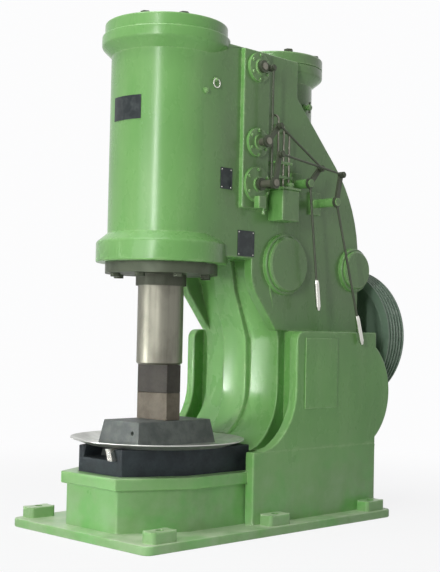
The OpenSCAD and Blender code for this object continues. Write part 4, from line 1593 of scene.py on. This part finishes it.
@dataclass(frozen=True)
class Softbox:
    """One area light, aimed at a point; azimuth 0 is ahead of the hammer and turns towards its right."""

    name: str
    azimuth_deg: float
    height: float
    distance: float
    size: tuple[float, float]
    power: float
    spread_deg: float = 180.0
    aim: Point = (0.0, -0.2, 1.2)

    def build(self) -> None:
        """Makes the lamp and aims it."""
        azimuth = math.radians(self.azimuth_deg)
        place = Vector((math.sin(azimuth) * self.distance, -math.cos(azimuth) * self.distance, self.height))
        data = bpy.data.lights.new(self.name, "AREA")
        data.shape = "RECTANGLE"
        data.size, data.size_y = self.size
        data.energy = self.power
        data.spread = math.radians(self.spread_deg)
        Bench.hang(self.name, data, place, (Vector(self.aim) - place).to_track_quat("-Z", "Y"))


@dataclass(frozen=True)
class Studio:
    """Pale floor, even world and soft lamps.

    The backdrop takes a share of the floor, by metres from the hammer: fade is that for all light,
    fade_seen for the camera, and mirrored the share for what gloss shows.
    """

    pale: Colour = (0.975, 0.975, 0.98)
    paper: Colour = (0.86, 0.86, 0.865)
    ambient: Colour = (0.93, 0.96, 1.0)
    ambient_power: float = 0.03
    floor_size: float = 60.0
    fade: Step = Step(1.2, 4.2, most=0.24)
    fade_seen: Step = Step(1.2, 4.2, 0.9, 1.0)
    mirrored: float = 0.7
    lamps: tuple[Softbox, ...] = (
        Softbox("key_box", azimuth_deg=12.0, height=1.7, distance=9.0, size=(4.6, 3.0), power=145.0),
        Softbox("top_box", azimuth_deg=0.0, height=7.5, distance=2.4, size=(4.0, 4.0), power=300.0),
        Softbox("streak_box", azimuth_deg=29.0, height=2.6, distance=6.0, size=(0.3, 2.8), power=110.0),
        Softbox(
            "throat_box",
            azimuth_deg=-28.0,
            height=0.75,
            distance=5.0,
            size=(3.0, 0.6),
            power=5.0,
            spread_deg=20.0,
            aim=(0.1, 0.2, 0.66),
        ),
    )

    def build(self) -> None:
        """Makes the floor, the world and the lamps."""
        self._floor()
        self._world()
        for lamp in self.lamps:
            lamp.build()
        bpy.context.scene.view_settings.view_transform = "Standard"

    def _floor(self) -> None:
        """A wide floor that fades into the world's colour away from the hammer."""
        Bench.clear()
        bpy.ops.mesh.primitive_plane_add(size=self.floor_size, location=(0, 0, 0))
        floor = Bench.settle("studio_floor")
        tree = FinishTree("floor_paper")
        tree.set(base_color=self.paper, roughness=0.9, specular_ior_level=0.1)
        reach = tree.node("ShaderNodeVectorMath", {"operation": "LENGTH"}, {0: tree.place()}, "Value")
        seen = tree.ray(Ray.CAMERA) * reach.smooth(self.fade_seen)
        mirrored = tree.ray(Ray.GLOSSY) * self.mirrored
        far = reach.smooth(self.fade).larger(seen).larger(mirrored)
        glow = tree.node("ShaderNodeEmission", inputs={"Color": self.pale, "Strength": 1.0})
        blend = tree.node("ShaderNodeMixShader", inputs={0: far, 1: tree.surface, 2: glow})
        tree.feed(tree.output.inputs["Surface"], blend)
        floor.data.materials.append(tree.material)

    def _world(self) -> None:
        """Even ambient light, with the pale backdrop for what the camera and gloss see."""
        world = bpy.data.worlds.new("studio_world")
        world.use_nodes = True
        tree = Nodes(world.node_tree)
        seen = tree.ray(Ray.CAMERA).larger(tree.ray(Ray.GLOSSY)).larger(tree.ray(Ray.TRANSMISSION))
        light = {"Color": self.ambient, "Strength": self.ambient_power}
        ambient = tree.node("ShaderNodeBackground", inputs=light)
        backdrop = tree.node("ShaderNodeBackground", inputs={"Color": self.pale, "Strength": 1.0})
        blend = tree.node("ShaderNodeMixShader", inputs={0: seen, 1: ambient, 2: backdrop})
        tree.add("ShaderNodeOutputWorld", inputs={"Surface": blend})
        bpy.context.scene.world = world


def main() -> None:
    """Builds the camera, the finishes, the skins and fittings, and the studio, in that order."""
    logging.basicConfig(level=logging.INFO, format="%(message)s")
    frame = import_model()
    PhotoCamera().build()
    finishes = Finishes()
    finishes.dress_nodes(frame)
    shop = Workshop(frame, finishes)
    for assembly in (CastSkins(), BlankPlates(), ValveTrim(), WallFittings(), PipeClips(), DrainCock()):
        assembly.build(shop)
    Studio().build()


if __name__ == "__main__":
    main()
